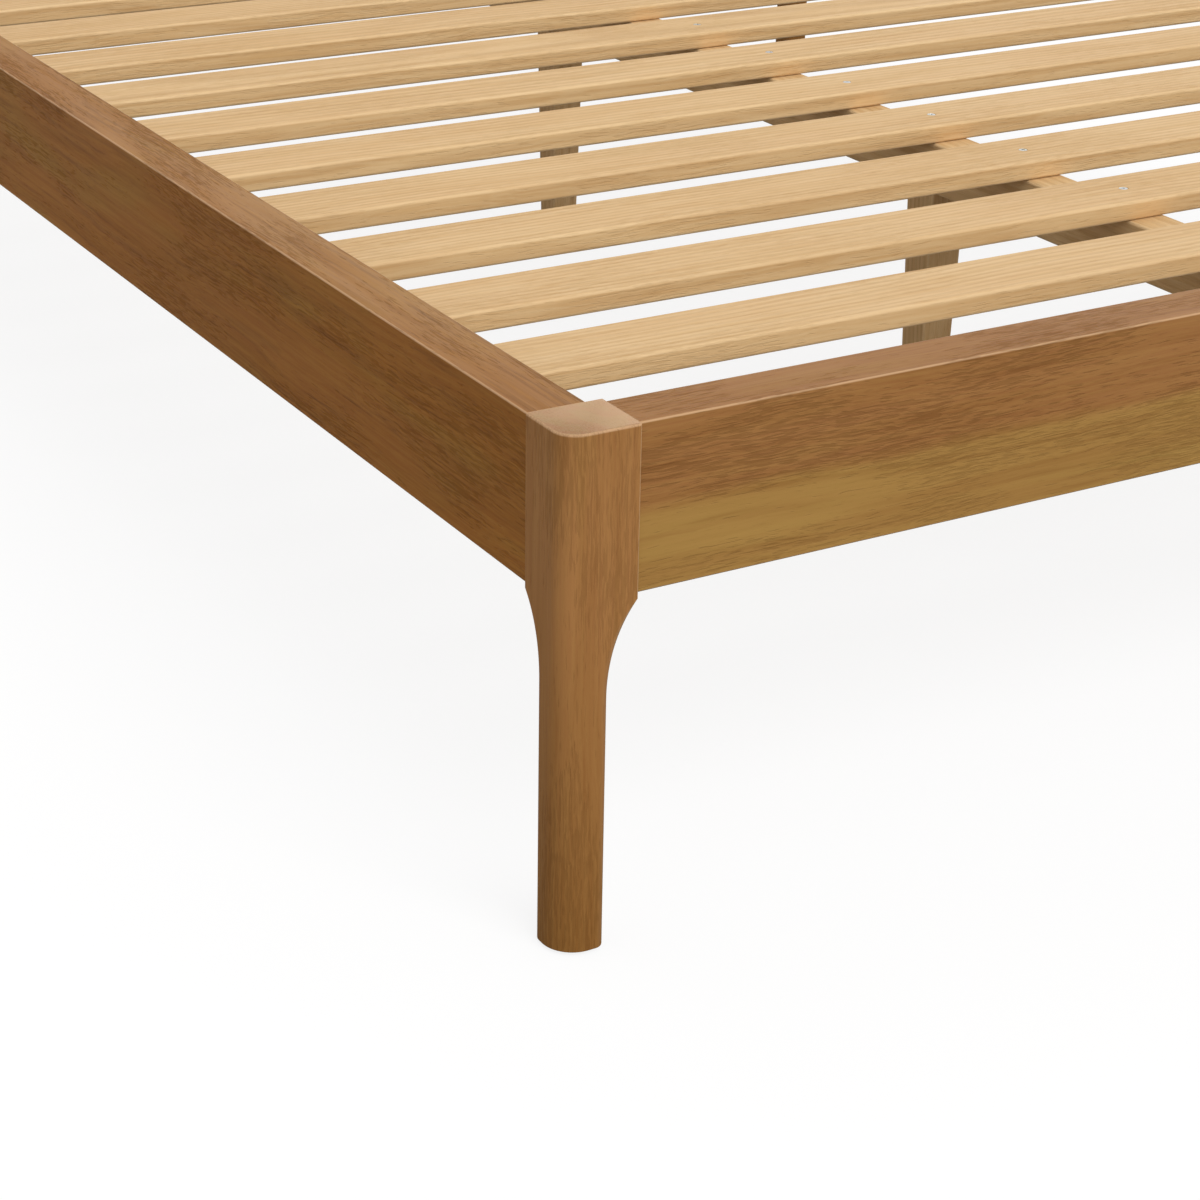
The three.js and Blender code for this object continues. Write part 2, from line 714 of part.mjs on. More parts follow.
function centreLegSolid(top) {
  const length = top - levellerStand;
  const toCorner = Math.SQRT1_2;
  const geometry = new THREE.CylinderGeometry(
    centreLegTop * toCorner, centreLegFoot * toCorner, length, 4,
  );
  geometry.rotateY(Math.PI / 4);
  geometry.rotateX(Math.PI / 2);
  geometry.translate(0, 0, levellerStand + length / 2);
  const studHole = holeUp(
    0, 0, studRadius + boltPlay, [levellerStand - past, studTop + studTravelRoom],
  );
  const boltHole = holeUp(
    0, 0, legBoltRadius + boltPlay, [top - legBoltDown - blindGap, top + past],
  );
  return without(solidOf(geometry), [studHole, boltHole]);
}

function addCentreLegs() {
  const top = beamBottom - fit;
  const boltTop = beamBottom + legBoltUp;
  const leg = centreLegSolid(top);
  const bolt = solidOf(turned([
    [0, top - legBoltDown], [legBoltRadius, top - legBoltDown + legBoltPoint],
    [legBoltRadius, boltTop - threadEnd], [legBoltRadius - threadEnd, boltTop], [0, boltTop],
  ], boltFacets));
  const leveller = solidOf(turned([
    [0, 0], [padRadius - padRound, 0], [padRadius, padRound], [padRadius, padThickness - padRound],
    [padRadius - padRound, padThickness], [collarRadius, padThickness], [collarRadius, collarTop],
    [studRadius, collarTop], [studRadius, studTop - threadEnd], [studRadius - threadEnd, studTop],
    [0, studTop],
  ]));
  for (const { name, y } of centreLegPlaces()) {
    addPiece(`centre_leg_${name}`, leg, 'beam', [0, y, 0]);
    addPiece(`centre_leg_bolt_${name}`, bolt, 'zinc', [0, y, 0]);
    addPiece(`leveller_${name}`, leveller, 'levelPad', [0, y, 0]);
  }
}

addPosts();
addGlides();
addRails();
addHeadboard();
addRailBolts();
addLedges();
addSlats();
addBeam();
addHangers();
addCentreLegs();

export default bed;
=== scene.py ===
import json
import math
import bmesh
import bpy
from mathutils import Matrix, Vector

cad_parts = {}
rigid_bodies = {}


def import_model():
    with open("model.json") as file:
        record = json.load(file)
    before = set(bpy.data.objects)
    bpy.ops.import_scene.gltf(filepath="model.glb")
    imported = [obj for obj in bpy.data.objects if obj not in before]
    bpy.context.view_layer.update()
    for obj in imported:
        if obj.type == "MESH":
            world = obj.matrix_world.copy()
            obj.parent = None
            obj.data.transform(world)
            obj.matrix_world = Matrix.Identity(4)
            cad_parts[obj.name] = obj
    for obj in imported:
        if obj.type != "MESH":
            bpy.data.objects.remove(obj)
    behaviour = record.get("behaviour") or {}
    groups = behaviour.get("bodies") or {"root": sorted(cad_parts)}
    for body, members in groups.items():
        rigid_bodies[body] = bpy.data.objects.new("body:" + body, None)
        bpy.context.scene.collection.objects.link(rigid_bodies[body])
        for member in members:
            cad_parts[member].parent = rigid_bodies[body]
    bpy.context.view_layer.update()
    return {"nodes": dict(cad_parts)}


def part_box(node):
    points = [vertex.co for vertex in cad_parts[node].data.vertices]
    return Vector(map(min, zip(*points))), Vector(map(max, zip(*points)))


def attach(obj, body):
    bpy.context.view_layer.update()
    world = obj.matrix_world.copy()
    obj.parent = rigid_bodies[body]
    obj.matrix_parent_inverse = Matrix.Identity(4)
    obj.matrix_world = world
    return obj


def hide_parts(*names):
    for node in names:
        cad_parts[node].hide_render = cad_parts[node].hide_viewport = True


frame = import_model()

mainBody = "bed_frame"
ends, sides, levels = ("foot", "head"), ("left", "right"), ("lower", "upper")
print("frame loaded:", len(frame["nodes"]), "nodes")


def boxOf(node):
    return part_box(node)


def middleOf(node):
    low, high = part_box(node)
    return (low + high) / 2


def nodesNamed(start):
    return sorted(name for name in frame["nodes"] if name.startswith(start))


def colour(code):
    # sRGB hex to the linear values that shaders take
    channels = [int(code[i:i + 2], 16) / 255 for i in (1, 3, 5)]
    linear = [c / 12.92 if c <= 0.04045 else ((c + 0.055) / 1.055) ** 2.4 for c in channels]
    return (*linear, 1.0)


def addObject(name, data):
    obj = bpy.data.objects.new(name, data)
    bpy.context.scene.collection.objects.link(obj)
    return obj


class nodeBuilder:
    # makes and joins the nodes of a material, a world or a Geometry Nodes group
    def __init__(self, owner):
        self.owner, self.tree = owner, owner
        if not isinstance(owner, bpy.types.NodeTree):
            owner.use_nodes = True
            self.tree = owner.node_tree
        self.tree.nodes.clear()

    def feed(self, socket, value):
        if isinstance(value, bpy.types.NodeSocket):
            self.tree.links.new(value, socket)
        else:
            socket.default_value = value

    def node(self, kind, settings=None, **inputs):
        item = self.tree.nodes.new(kind)
        for key, value in (settings or {}).items():
            setattr(item, key, value)
        for key, value in inputs.items():
            self.feed(item.inputs[key.replace("_", " ")], value)
        return item

    def math(self, operation, a, b=0.0, c=0.0, clamp=False):
        item = self.node("ShaderNodeMath", {"operation": operation, "use_clamp": clamp})
        for socket, value in zip(item.inputs, (a, b, c)):
            self.feed(socket, value)
        return item.outputs[0]

    def times(self, a, b):
        return self.math("MULTIPLY", a, b)

    def plus(self, a, b):
        return self.math("ADD", a, b)

    def less(self, a, b):
        return self.math("SUBTRACT", a, b)

    def join(self, x, y, z):
        return self.node("ShaderNodeCombineXYZ", X=x, Y=y, Z=z).outputs[0]

    def noise(self, vector, factors, detail=2.0, rough=0.5, warp=0.0):
        scaled = self.node("ShaderNodeVectorMath", {"operation": "MULTIPLY"})
        self.feed(scaled.inputs[0], vector)
        self.feed(scaled.inputs[1], factors)
        item = self.node("ShaderNodeTexNoise", Vector=scaled.outputs[0], Scale=1.0, Detail=detail,
                         Roughness=rough, Distortion=warp)
        return item.outputs["Fac"]

    def ramp(self, value, low, high, toLow=0.0, toHigh=1.0):
        item = self.node("ShaderNodeMapRange", {"interpolation_type": "SMOOTHSTEP"}, Value=value)
        for key, number in zip(("From Min", "From Max", "To Min", "To Max"), (low, high, toLow, toHigh)):
            item.inputs[key].default_value = number
        return item.outputs["Result"]

    def blend(self, factor, a, b):
        item = self.node("ShaderNodeMix", {"data_type": "RGBA"})
        self.feed(item.inputs[0], factor)
        self.feed(item.inputs[6], a)
        self.feed(item.inputs[7], colour(b) if isinstance(b, str) else b)
        return item.outputs[2]

    def attribute(self, name):
        return self.node("ShaderNodeAttribute", {"attribute_name": name}).outputs["Fac"]

    def surface(self, base, rough, height, relief, specular, metallic=0.0):
        bump = self.node("ShaderNodeBump", Height=height, Distance=relief, Strength=1.0)
        shader = self.node("ShaderNodeBsdfPrincipled", Base_Color=base, Roughness=rough, Metallic=metallic,
                           Specular_IOR_Level=specular, Normal=bump.outputs["Normal"])
        self.node("ShaderNodeOutputMaterial", Surface=shader.outputs[0])
        return self.owner


cameraView = {
    "fromCorner": (-0.80497, -1.40549, 1.02399),  # from the foot of the nearest leg
    "yaw": 30.66, "pitch": 24.76, "roll": -1.05, "lens": 81.6,
}


def makeCamera(v):
    corner = boxOf("foot_post_left")[0]
    yaw, pitch, roll = (math.radians(v[k]) for k in ("yaw", "pitch", "roll"))
    forward = Vector((math.sin(yaw) * math.cos(pitch), math.cos(yaw) * math.cos(pitch), -math.sin(pitch)))
    level = Vector((math.cos(yaw), -math.sin(yaw), 0))
    down = forward.cross(level)
    right = level * math.cos(roll) + down * math.sin(roll)
    below = down * math.cos(roll) - level * math.sin(roll)
    data = bpy.data.cameras.new("camera")
    data.lens, data.sensor_width = v["lens"], 36
    data.clip_start, data.clip_end = 0.05, 100
    camera = addObject("camera", data)
    turn = Matrix((right, -below, -forward)).transposed()
    camera.matrix_world = Matrix.Translation(corner + Vector(v["fromCorner"])) @ turn.to_4x4()
    bpy.context.scene.camera = camera


makeCamera(cameraView)
print("camera placed")

studio = {
    "worldStrength": 0.66,
    "keyStrength": 1.97, "keyFrom": (0.02, -0.72, 0.62), "keyAngle": 45,
    "backStrength": 0.4, "backFrom": (0.46, 0.78, 0.5), "backAngle": 70,
    "floorSeen": "#fdfdfd", "floorShade": "#a09e9b", "floorGlow": 0.84, "floorShine": 0.1, "floorSize": 60,
}


def addSun(name, strength, fromDirection, angle):
    data = bpy.data.lights.new(name, "SUN")
    data.energy, data.angle = strength, math.radians(angle)
    lamp = addObject(name, data)
    lamp.rotation_mode = "QUATERNION"
    lamp.rotation_quaternion = Vector(fromDirection).to_track_quat("Z", "Y")


def seenDirectly(n, seen, mirrored):
    # a share for camera and glass rays, another for mirror rays, none for rays that light the object
    path = n.node("ShaderNodeLightPath")
    total = 0.0
    shares = {"Is Camera Ray": seen, "Is Transmission Ray": seen, "Is Glossy Ray": mirrored}
    for name, share in shares.items():
        total = n.math("MULTIPLY_ADD", path.outputs[name], share, total, clamp=True)
    return total


def makeWorld(s):
    world = bpy.data.worlds.new("studio")
    bpy.context.scene.world = world
    n = nodeBuilder(world)
    seen = seenDirectly(n, 1.0, 1.0)
    level = n.node("ShaderNodeMapRange", Value=seen, To_Min=s["worldStrength"], To_Max=1.0)
    background = n.node("ShaderNodeBackground", Color=(1, 1, 1, 1), Strength=level.outputs["Result"])
    n.node("ShaderNodeOutputWorld", Surface=background.outputs[0])


def makeFloor(s):
    half = s["floorSize"] / 2
    corners = [(x * half, y * half, 0) for x, y in ((-1, -1), (1, -1), (1, 1), (-1, 1))]
    mesh = bpy.data.meshes.new("floor")
    mesh.from_pydata(corners, [], [(0, 1, 2, 3)])
    floor = addObject("floor", mesh)
    n = nodeBuilder(bpy.data.materials.new("floorPaint"))
    tone = n.blend(seenDirectly(n, 1.0, 0.0), colour(s["floorShade"]), s["floorSeen"])
    paint = n.node("ShaderNodeBsdfDiffuse", Color=tone)
    glow = n.node("ShaderNodeEmission", Color=(1, 1, 1, 1))
    mix = n.node("ShaderNodeMixShader", Fac=seenDirectly(n, s["floorGlow"], s["floorShine"]))
    n.feed(mix.inputs[1], paint.outputs[0])
    n.feed(mix.inputs[2], glow.outputs[0])
    n.node("ShaderNodeOutputMaterial", Surface=mix.outputs[0])
    floor.data.materials.append(n.owner)


makeWorld(studio)
makeFloor(studio)
addSun("keyLight", studio["keyStrength"], studio["keyFrom"], studio["keyAngle"])
addSun("backLight", studio["backStrength"], studio["backFrom"], studio["backAngle"])
bpy.context.scene.view_settings.view_transform = "Standard"
print("studio ready")


def woodMaterial(name, grainAxis, w):
    # solid wood: the pattern runs through each board, so the ends show end grain
    s = nodeBuilder(bpy.data.materials.new(name))
    place = s.node("ShaderNodeTexCoord").outputs["Object"]
    split = s.node("ShaderNodeSeparateXYZ", Vector=place)
    along, across, up = (split.outputs[letter] for letter in {"X": "XYZ", "Y": "YXZ", "Z": "ZXY"}[grainAxis])
    seed = s.attribute("boardSeed")
    u = s.math("MULTIPLY_ADD", seed, 3.7, along)
    v = s.math("MULTIPLY_ADD", seed, 1.9, across)
    t = s.math("MULTIPLY_ADD", seed, 2.3, up)
    grain = s.join(u, v, t)

    # long waves and short ripples bend the fibres
    wave = s.times(s.less(s.noise(grain, (3.2, 7, 7), detail=1.0), 0.5), w["wave"])
    ripple = s.times(s.less(s.noise(grain, (26, 60, 60), detail=1.0), 0.5), w["ripple"])
    bend = s.plus(wave, ripple)
    bent = s.join(u, s.plus(v, bend), s.plus(t, bend))

    # growth rings round a pith outside the board
    pithShift = s.math("MULTIPLY_ADD", s.math("SINE", s.times(seed, 37.0)), 0.05, w["pith"][0])
    ringV = s.less(s.plus(across, wave), pithShift)
    ringT = s.less(s.plus(up, wave), w["pith"][1])
    radius = s.math("SQRT", s.math("MULTIPLY_ADD", ringV, ringV, s.times(ringT, ringT)))
    drift = s.times(s.noise(grain, (1.1, 4, 4), detail=1.0), w["ringDrift"])
    turns = s.times(s.plus(radius, drift), 2 * math.pi / w["ringPitch"])
    ring = s.ramp(s.math("SINE", turns), -0.6, 1.0)

    fibre = s.noise(bent, (7, 420, 420), detail=3.0, rough=0.6)
    streak = s.noise(bent, (3, 70, 70))
    broad = s.noise(bent, (2.2, 16, 16))
    patch = s.ramp(s.noise(bent, (4.5, 22, 22), rough=0.55), 0.52, 0.7)
    vein = s.ramp(s.noise(bent, (5, 150, 150), rough=0.6), 0.5, 0.7)
    crowd = s.ramp(s.noise(bent, (5, 20, 20), detail=1.0), 0.36, 0.64, -w["crowding"], w["crowding"])
    coarse = s.plus(s.noise(bent, w["poreScale"], detail=1.5, rough=0.55), crowd)
    fine = s.plus(s.noise(bent, tuple(1.8 * c for c in w["poreScale"]), detail=1.0), crowd)
    pore = s.ramp(coarse, w["poreEdge"], w["poreEdge"] + 0.1)
    finePore = s.ramp(fine, w["poreEdge"], w["poreEdge"] + 0.12)

    # paler sapwood below the board's own tone edge, and paler end grain, partly its own colour and partly a
    # painted sheen on the lit tops of the posts
    wander = s.times(s.less(s.noise(grain, (5, 12, 12)), 0.5), w["sapWander"])
    depth = s.less(s.plus(s.attribute("toneEdge"), wander), up)
    sap = s.ramp(depth, -w["sapBlend"], w["sapBlend"])
    facing = s.node("ShaderNodeSeparateXYZ", Vector=s.node("ShaderNodeNewGeometry").outputs["Normal"])
    endGrain = s.ramp(s.math("ABSOLUTE", facing.outputs[grainAxis]), 0.75, 0.97)
    marble = s.ramp(s.noise(grain, (45, 38, 38), warp=1.2), 0.4, 0.62)
    endGrainAndSheen = s.blend(s.times(marble, w["marbleShare"]), colour(w["end"]), w["endPaleSheen"])

    ringShare = s.ramp(endGrain, 0.0, 1.0, w["ringShare"], min(1, 2.2 * w["ringShare"]))
    # painted shade: faces that look down are painted darker
    under = s.ramp(s.times(facing.outputs["Z"], -1.0), 0.1, 0.6)
    calm = s.times(s.ramp(sap, 0.0, 1.0, w["poreShare"], 0.6 * w["poreShare"]),
                  s.ramp(endGrain, 0.0, 1.0, 1.0, 0.3))
    tone = colour(w["heart"])
    for mask, layer in (  # where each layer lies, and the colour it brings, from the bottom up
        (sap, w["sap"]), (s.attribute("boardDepth"), w["dark"]),
        (s.times(patch, w["patchShare"]), w["sap"]),
        (s.times(s.ramp(broad, 0.35, 0.65), w["broadShare"]), w["deep"]),
        (s.times(vein, w["veinShare"]), w["vein"]),
        (s.times(s.ramp(streak, 0.42, 0.66), w["streakShare"]), w["streak"]),
        (s.times(ring, ringShare), w["ring"]),
        (s.times(s.ramp(fibre, 0.3, 0.7), w["fibreShare"]), w["fibre"]),
        # end grain painted paler, partly its own colour and partly a painted sheen on the post tops
        (s.times(endGrain, w["endSheenShare"]), endGrainAndSheen),
        # partly real wear on the arrises, partly a painted highlight along them
        (s.times(s.attribute("edgeWearAndHighlight"), w["wearAndHighlightShare"]), w["wearAndHighlight"]),
        # painted shade on the undersides
        (s.times(under, w["underShare"]), w["under"]),
        (s.times(finePore, w["finePoreShare"]), w["pore"]), (s.times(pore, calm), w["pore"]),
    ):
        tone = s.blend(mask, tone, layer)

    rough = s.math("MULTIPLY_ADD", pore, 0.12, s.ramp(streak, 0.3, 0.7, w["rough"] - 0.03, w["rough"] + 0.03))
    height = s.less(s.times(fibre, 0.25), pore)
    return s.surface(tone, rough, height, w["relief"], w["specular"])


oiledWood = {
    "heart": "#98693e", "sap": "#a38044", "dark": "#8b520e", "deep": "#8b5c31", "streak": "#825429",
    "vein": "#6f4319", "ring": "#85592c", "fibre": "#ab8249", "end": "#b58c6c",
    # the wear colour is for worn arrises and a painted highlight along them
    "endPaleSheen": "#b1986e", "wearAndHighlight": "#d3af8a", "under": "#3f2710", "pore": "#52310f",
    "broadShare": 0.28, "streakShare": 0.33, "patchShare": 0.38, "veinShare": 0.3, "ringShare": 0.12,
    # underShare sets how much painted shade darkens faces that look down
    "fibreShare": 0.3, "endSheenShare": 0.65, "marbleShare": 0.85, "wearAndHighlightShare": 0.6, "underShare": 0.6,
    "poreShare": 0.24, "finePoreShare": 0.15, "poreScale": (48, 620, 620), "poreEdge": 0.55,
    "crowding": 0.1, "wave": 0.02, "ripple": 0.003, "ringPitch": 0.0075, "ringDrift": 0.03,
    "pith": (0.09, 0.2), "sapWander": 0.022, "sapBlend": 0.006,
    "rough": 0.47, "relief": 0.00016, "specular": 0.08,
}
bareWood = {
    **oiledWood,
    "heart": "#d2ae7c", "sap": "#dcbf92", "dark": "#c19a68", "deep": "#c99f6b", "streak": "#bf965f",
    "vein": "#b98e58", "ring": "#b58a56", "fibre": "#e3ca9f", "end": "#c9a06c", "endPaleSheen": "#cfab7c",
    "wearAndHighlight": "#e2c9a0", "pore": "#9a7446", "crowding": 0.06, "rough": 0.62, "specular": 0.3,
    "endSheenShare": 0.4, "broadShare": 0.35, "streakShare": 0.3, "patchShare": 0.2, "veinShare": 0.15,
    "ringShare": 0.45, "poreShare": 0.12, "finePoreShare": 0.1, "wearAndHighlightShare": 0.3, "underShare": 0.0,
}
postWood = {
    **oiledWood,
    "heart": "#a07042", "dark": "#7d5423", "end": "#a67f61", "endPaleSheen": "#a28b64",
    "poreShare": 0.18, "finePoreShare": 0.1, "patchShare": 0.2, "broadShare": 0.12, "veinShare": 0.18,
    "fibreShare": 0.22, "relief": 0.0001,
}
sideWood = {
    **oiledWood,
    "heart": "#9f774b", "dark": "#955a14", "deep": "#8a5420", "streak": "#7e4e1c", "vein": "#5f350e",
    "fibre": "#b27e38", "sap": "#93712c", "pore": "#4a2a0b", "broadShare": 0.5, "patchShare": 0.5,
    "veinShare": 0.42, "streakShare": 0.4, "poreShare": 0.22,
}
oiledAlong = {
    axis: woodMaterial("oiledWood" + axis, axis, looks)
    for axis, looks in {"X": oiledWood, "Y": sideWood, "Z": postWood}.items()
}
bareAlong = {axis: woodMaterial("bareWood" + axis, axis, bareWood) for axis in "XYZ"}
print("wood materials ready")

metalLooks = {
    "zinc": {"base": "#b9bcbe", "tint": "#a9a58f", "rough": 0.3, "grain": 240, "relief": 0.00004,
             "metallic": 1.0},
    "blackSteel": {"base": "#26272a", "tint": "#1c1d20", "rough": 0.52, "grain": 900, "relief": 0.00012},
    "nylon": {"base": "#5d4a35", "tint": "#4f3e2c", "rough": 0.5, "grain": 500, "relief": 0.00006},
    "padPlastic": {"base": "#202124", "tint": "#2a2b2f", "rough": 0.55, "grain": 700, "relief": 0.00008},
}


def plainMaterial(name, m):
    # plated, coated or moulded: cloudy colour, handling marks in the gloss and a fine surface texture
    s = nodeBuilder(bpy.data.materials.new(name))
    place = s.node("ShaderNodeTexCoord").outputs["Object"]
    cloud = s.noise(place, (60, 60, 60))
    marks = s.noise(place, (240, 90, 160), detail=3.0, rough=0.6)
    fine = s.noise(place, (m["grain"],) * 3)
    tone = s.blend(s.ramp(cloud, 0.35, 0.7), colour(m["base"]), m["tint"])
    rough = s.plus(s.ramp(marks, 0.3, 0.75, m["rough"] - 0.05, m["rough"] + 0.1), s.times(fine, 0.04))
    return s.surface(tone, rough, fine, m["relief"], 0.4, m.get("metallic", 0.0))


finishes = {name: plainMaterial(name, looks) for name, looks in metalLooks.items()}
print("metal and plastic materials ready")


edgeLooks = {
    "leastRadius": 0.0002, "unmarkedRadius": 0.0085, "wearAndHighlightRange": 0.005, "edgeSteps": 5, "endSteps": 3,
}


def roundedSection(low, high, radii, steps, inset=0.0, farInset=None):
    # (a, b, wear and painted highlight) round a rectangle, from the corner (low, low) towards the first axis
    far = inset if farInset is None else farInset
    (a0, b0), (a1, b1) = (low[0] + inset, low[1] + inset), (high[0] - far, high[1] - far)
    corners = [(a0, b0, 180), (a1, b0, 270), (a1, b1, 0), (a0, b1, 90)]
    points = []
    for (a, b, start), radius, count in zip(corners, radii, steps):
        r = max(radius - inset, edgeLooks["leastRadius"])
        # sharp edges get wear and a painted highlight, round ones don't
        wornAndLit = min(max(edgeLooks["unmarkedRadius"] - radius, 0) / edgeLooks["wearAndHighlightRange"], 1)
        ca = a + r if a == a0 else a - r
        cb = b + r if b == b0 else b - r
        for k in range(count + 1):
            turn = math.radians(start + 90 * k / count)
            wearAndHighlight = math.sin(math.pi * k / count)
            points.append((ca + r * math.cos(turn), cb + r * math.sin(turn), wornAndLit * wearAndHighlight))
    return points


def quarterArc(steps):
    # the sine and cosine of even steps over a quarter turn
    turns = [math.pi / 2 * k / steps for k in range(steps + 1)]
    return [(math.sin(turn), math.cos(turn)) for turn in turns]


def roundedEnd(radius, steps):
    # (distance from the end, inset of the section, wear and painted highlight) over a rounded end edge
    stations = []
    for k in range(steps + 1):
        turn = math.pi / 2 * k / steps
        stations.append((radius * (1 - math.sin(turn)), radius * (1 - math.cos(turn)), math.sin(2 * turn)))
    return stations


def endLevels(low, high, radius):
    # (place, inset of the section, wear and painted highlight) from one rounded end to the other
    stations = roundedEnd(radius, edgeLooks["endSteps"])
    near = [(low + away, inset, wearAndHighlight) for away, inset, wearAndHighlight in stations[::-1]]
    return near + [(high - away, inset, wearAndHighlight) for away, inset, wearAndHighlight in stations]


def faceOutwards(mesh):
    bm = bmesh.new()
    bm.from_mesh(mesh)
    bmesh.ops.remove_doubles(bm, verts=bm.verts, dist=1e-7)
    bmesh.ops.recalc_face_normals(bm, faces=bm.faces)
    if bm.calc_volume(signed=True) < 0:
        bmesh.ops.reverse_faces(bm, faces=bm.faces)
    bm.to_mesh(mesh)
    bm.free()


def loftRings(name, rings, looped=False):
    # closed rings of equal length, joined in order, then capped at both ends or joined in a loop
    count = len(rings[0])
    points = [point for ring in rings for point in ring]
    faces = []
    for r in range(len(rings) - (0 if looped else 1)):
        q = (r + 1) % len(rings)
        for k in range(count):
            n = (k + 1) % count
            faces.append((r * count + k, r * count + n, q * count + n, q * count + k))
    if not looped:
        faces.append(tuple(range(count))[::-1])
        faces.append(tuple((len(rings) - 1) * count + k for k in range(count)))
    mesh = bpy.data.meshes.new(name)
    mesh.from_pydata([point[:3] for point in points], [], faces)
    # edge wear and a painted highlight along the arrises, for each point
    wearAndHighlight = mesh.attributes.new("edgeWearAndHighlight", "FLOAT", "POINT")
    wearAndHighlight.data.foreach_set("value", [point[3] if len(point) > 3 else 0.0 for point in points])
    faceOutwards(mesh)
    return addObject(name, mesh)


def onAxis(axis, section, at, wearAndHighlight=0.0):
    # a section's points on the plane that crosses the axis at a distance
    order = {"X": lambda a, b: (at, a, b), "Y": lambda a, b: (a, at, b), "Z": lambda a, b: (a, b, at)}[axis]
    return [(*order(a, b), max(w, wearAndHighlight)) for a, b, w in section]


def ringRound(axis, centre, at, reach, count):
    # points round an axis, at one radius or at what a rule gives for each angle
    section = []
    for k in range(count):
        turn = 2 * math.pi * k / count
        r = reach(turn) if callable(reach) else reach
        section.append((centre[0] + r * math.cos(turn), centre[1] + r * math.sin(turn), 0))
    return onAxis(axis, section, at)


def hexagonal(across):
    # the rule for a hexagon of a width across its flats
    return lambda turn: across / 2 / math.cos(turn % (math.pi / 3) - math.pi / 6)


def addBoard(name, low, high, axis, edgeRadius, endRadius):
    # a straight board with round long edges and softened ends
    index = "XYZ".index(axis)
    others = [i for i in range(3) if i != index]
    low2, high2 = [low[i] for i in others], [high[i] for i in others]

    def ring(at, inset, wearAndHighlight):
        section = roundedSection(low2, high2, [edgeRadius] * 4, [edgeLooks["edgeSteps"]] * 4, inset)
        return onAxis(axis, section, at, wearAndHighlight)

    places = endLevels(low[index], high[index], endRadius)
    return loftRings(name, [ring(*place) for place in places])


def applied(obj):
    # the modifiers' result becomes the piece's own mesh
    bpy.context.view_layer.update()
    graph = bpy.context.evaluated_depsgraph_get()
    mesh = bpy.data.meshes.new_from_object(obj.evaluated_get(graph))
    obj.modifiers.clear()
    obj.data = mesh
    return obj


def combine(obj, others, operation="DIFFERENCE"):
    # cuts the others away or joins them on, and uses them up
    for other in others:
        modifier = obj.modifiers.new("combine", "BOOLEAN")
        modifier.operation, modifier.solver, modifier.object = operation, "EXACT", other
    applied(obj)
    for other in others:
        bpy.data.objects.remove(other)


def bevelEdges(obj, width, angle=60):
    bevel = obj.modifiers.new("soften", "BEVEL")
    bevel.width, bevel.segments, bevel.limit_method = width, 2, "ANGLE"
    bevel.angle_limit = math.radians(angle)
    applied(obj)


noToneEdge = -9.0  # far below every board, so that none of it is sapwood


def markBoard(obj, seed=None, toneEdge=noToneEdge, boardDepth=0.0):
    # every board reads its own stretch of grain and has its own change of tone
    for name, value in (("boardSeed", seed), ("toneEdge", toneEdge), ("boardDepth", boardDepth)):
        if value is not None:  # the copies in a row have their seeds already
            attribute = obj.data.attributes.new(name, "FLOAT", "POINT")
            attribute.data.foreach_set("value", [value] * len(obj.data.vertices))


def finishPiece(obj, material, nodes=(), body=mainBody, angle=32):
    # smooth shading that keeps the flat faces flat, then the piece joins its body
    obj.data.shade_smooth()
    obj.data.set_sharp_from_angle(angle=math.radians(angle))
    weighted = obj.modifiers.new("weighted", "WEIGHTED_NORMAL")
    weighted.keep_sharp = True
    applied(obj)
    obj.data.materials.clear()
    obj.data.materials.append(material)
    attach(obj, body)
    if nodes:
        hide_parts(*nodes)


holes = {
    "bolt": 0.0045, "pin": 0.0025, "steps": 24,
    "blindGap": 0.001,  # between the end of a bolt or pin and the bottom of its hole
    "beyond": 0.005,  # how far a cutter reaches past a face
    # countersinks, wide enough for a screw's head and neck
    "sinkMouth": 0.005, "sinkSlope": 0.96, "sinkDepth": 0.0025, "sinkPast": 0.0005,
}


def roundCutter(axis, centre, span, radius, farRadius=None):
    # a cylinder, or a cone where the radius at the far end of its span differs
    radii = (radius, farRadius or radius)
    return loftRings("hole", [ringRound(axis, centre, at, r, holes["steps"]) for at, r in zip(span, radii)])


def sinkCutter(axis, centre, face, outward, depth=holes["sinkDepth"]):
    # a countersink that widens towards the face the screw enters
    mouth, slope, past = holes["sinkMouth"], holes["sinkSlope"], holes["sinkPast"]
    span = (face - outward * depth, face + outward * past)
    return roundCutter(axis, centre, span, mouth - slope * depth, mouth + slope * past)


postShape = {
    "cornerRadius": 0.017, "legCornerRadius": 0.024, "edgeRadius": 0.0012, "seamRadius": 0.0006,
    "legEdgeRadius": 0.008, "edgeSharpening": 1.85, "topRound": 0.002, "footRound": 0.0005, "seamShare": 0.12,
    "flareRadius": 0.136, "flareDrop": 0.0032, "footShade": 0.85, "firstSeed": 0.31, "seedStep": 0.77,
    "cornerSteps": 18, "edgeSteps": 6, "endSteps": 4, "flareSteps": 28,
}


def legSizes(end, side):
    # the glide sits under the middle of the leg, so it gives the leg's width and depth
    low, high = boxOf(f"{end}_post_{side}")
    glide = middleOf(f"glide_{end}_{side}")
    return 2 * min(glide.x - low.x, high.x - glide.x), 2 * min(glide.y - low.y, high.y - glide.y)


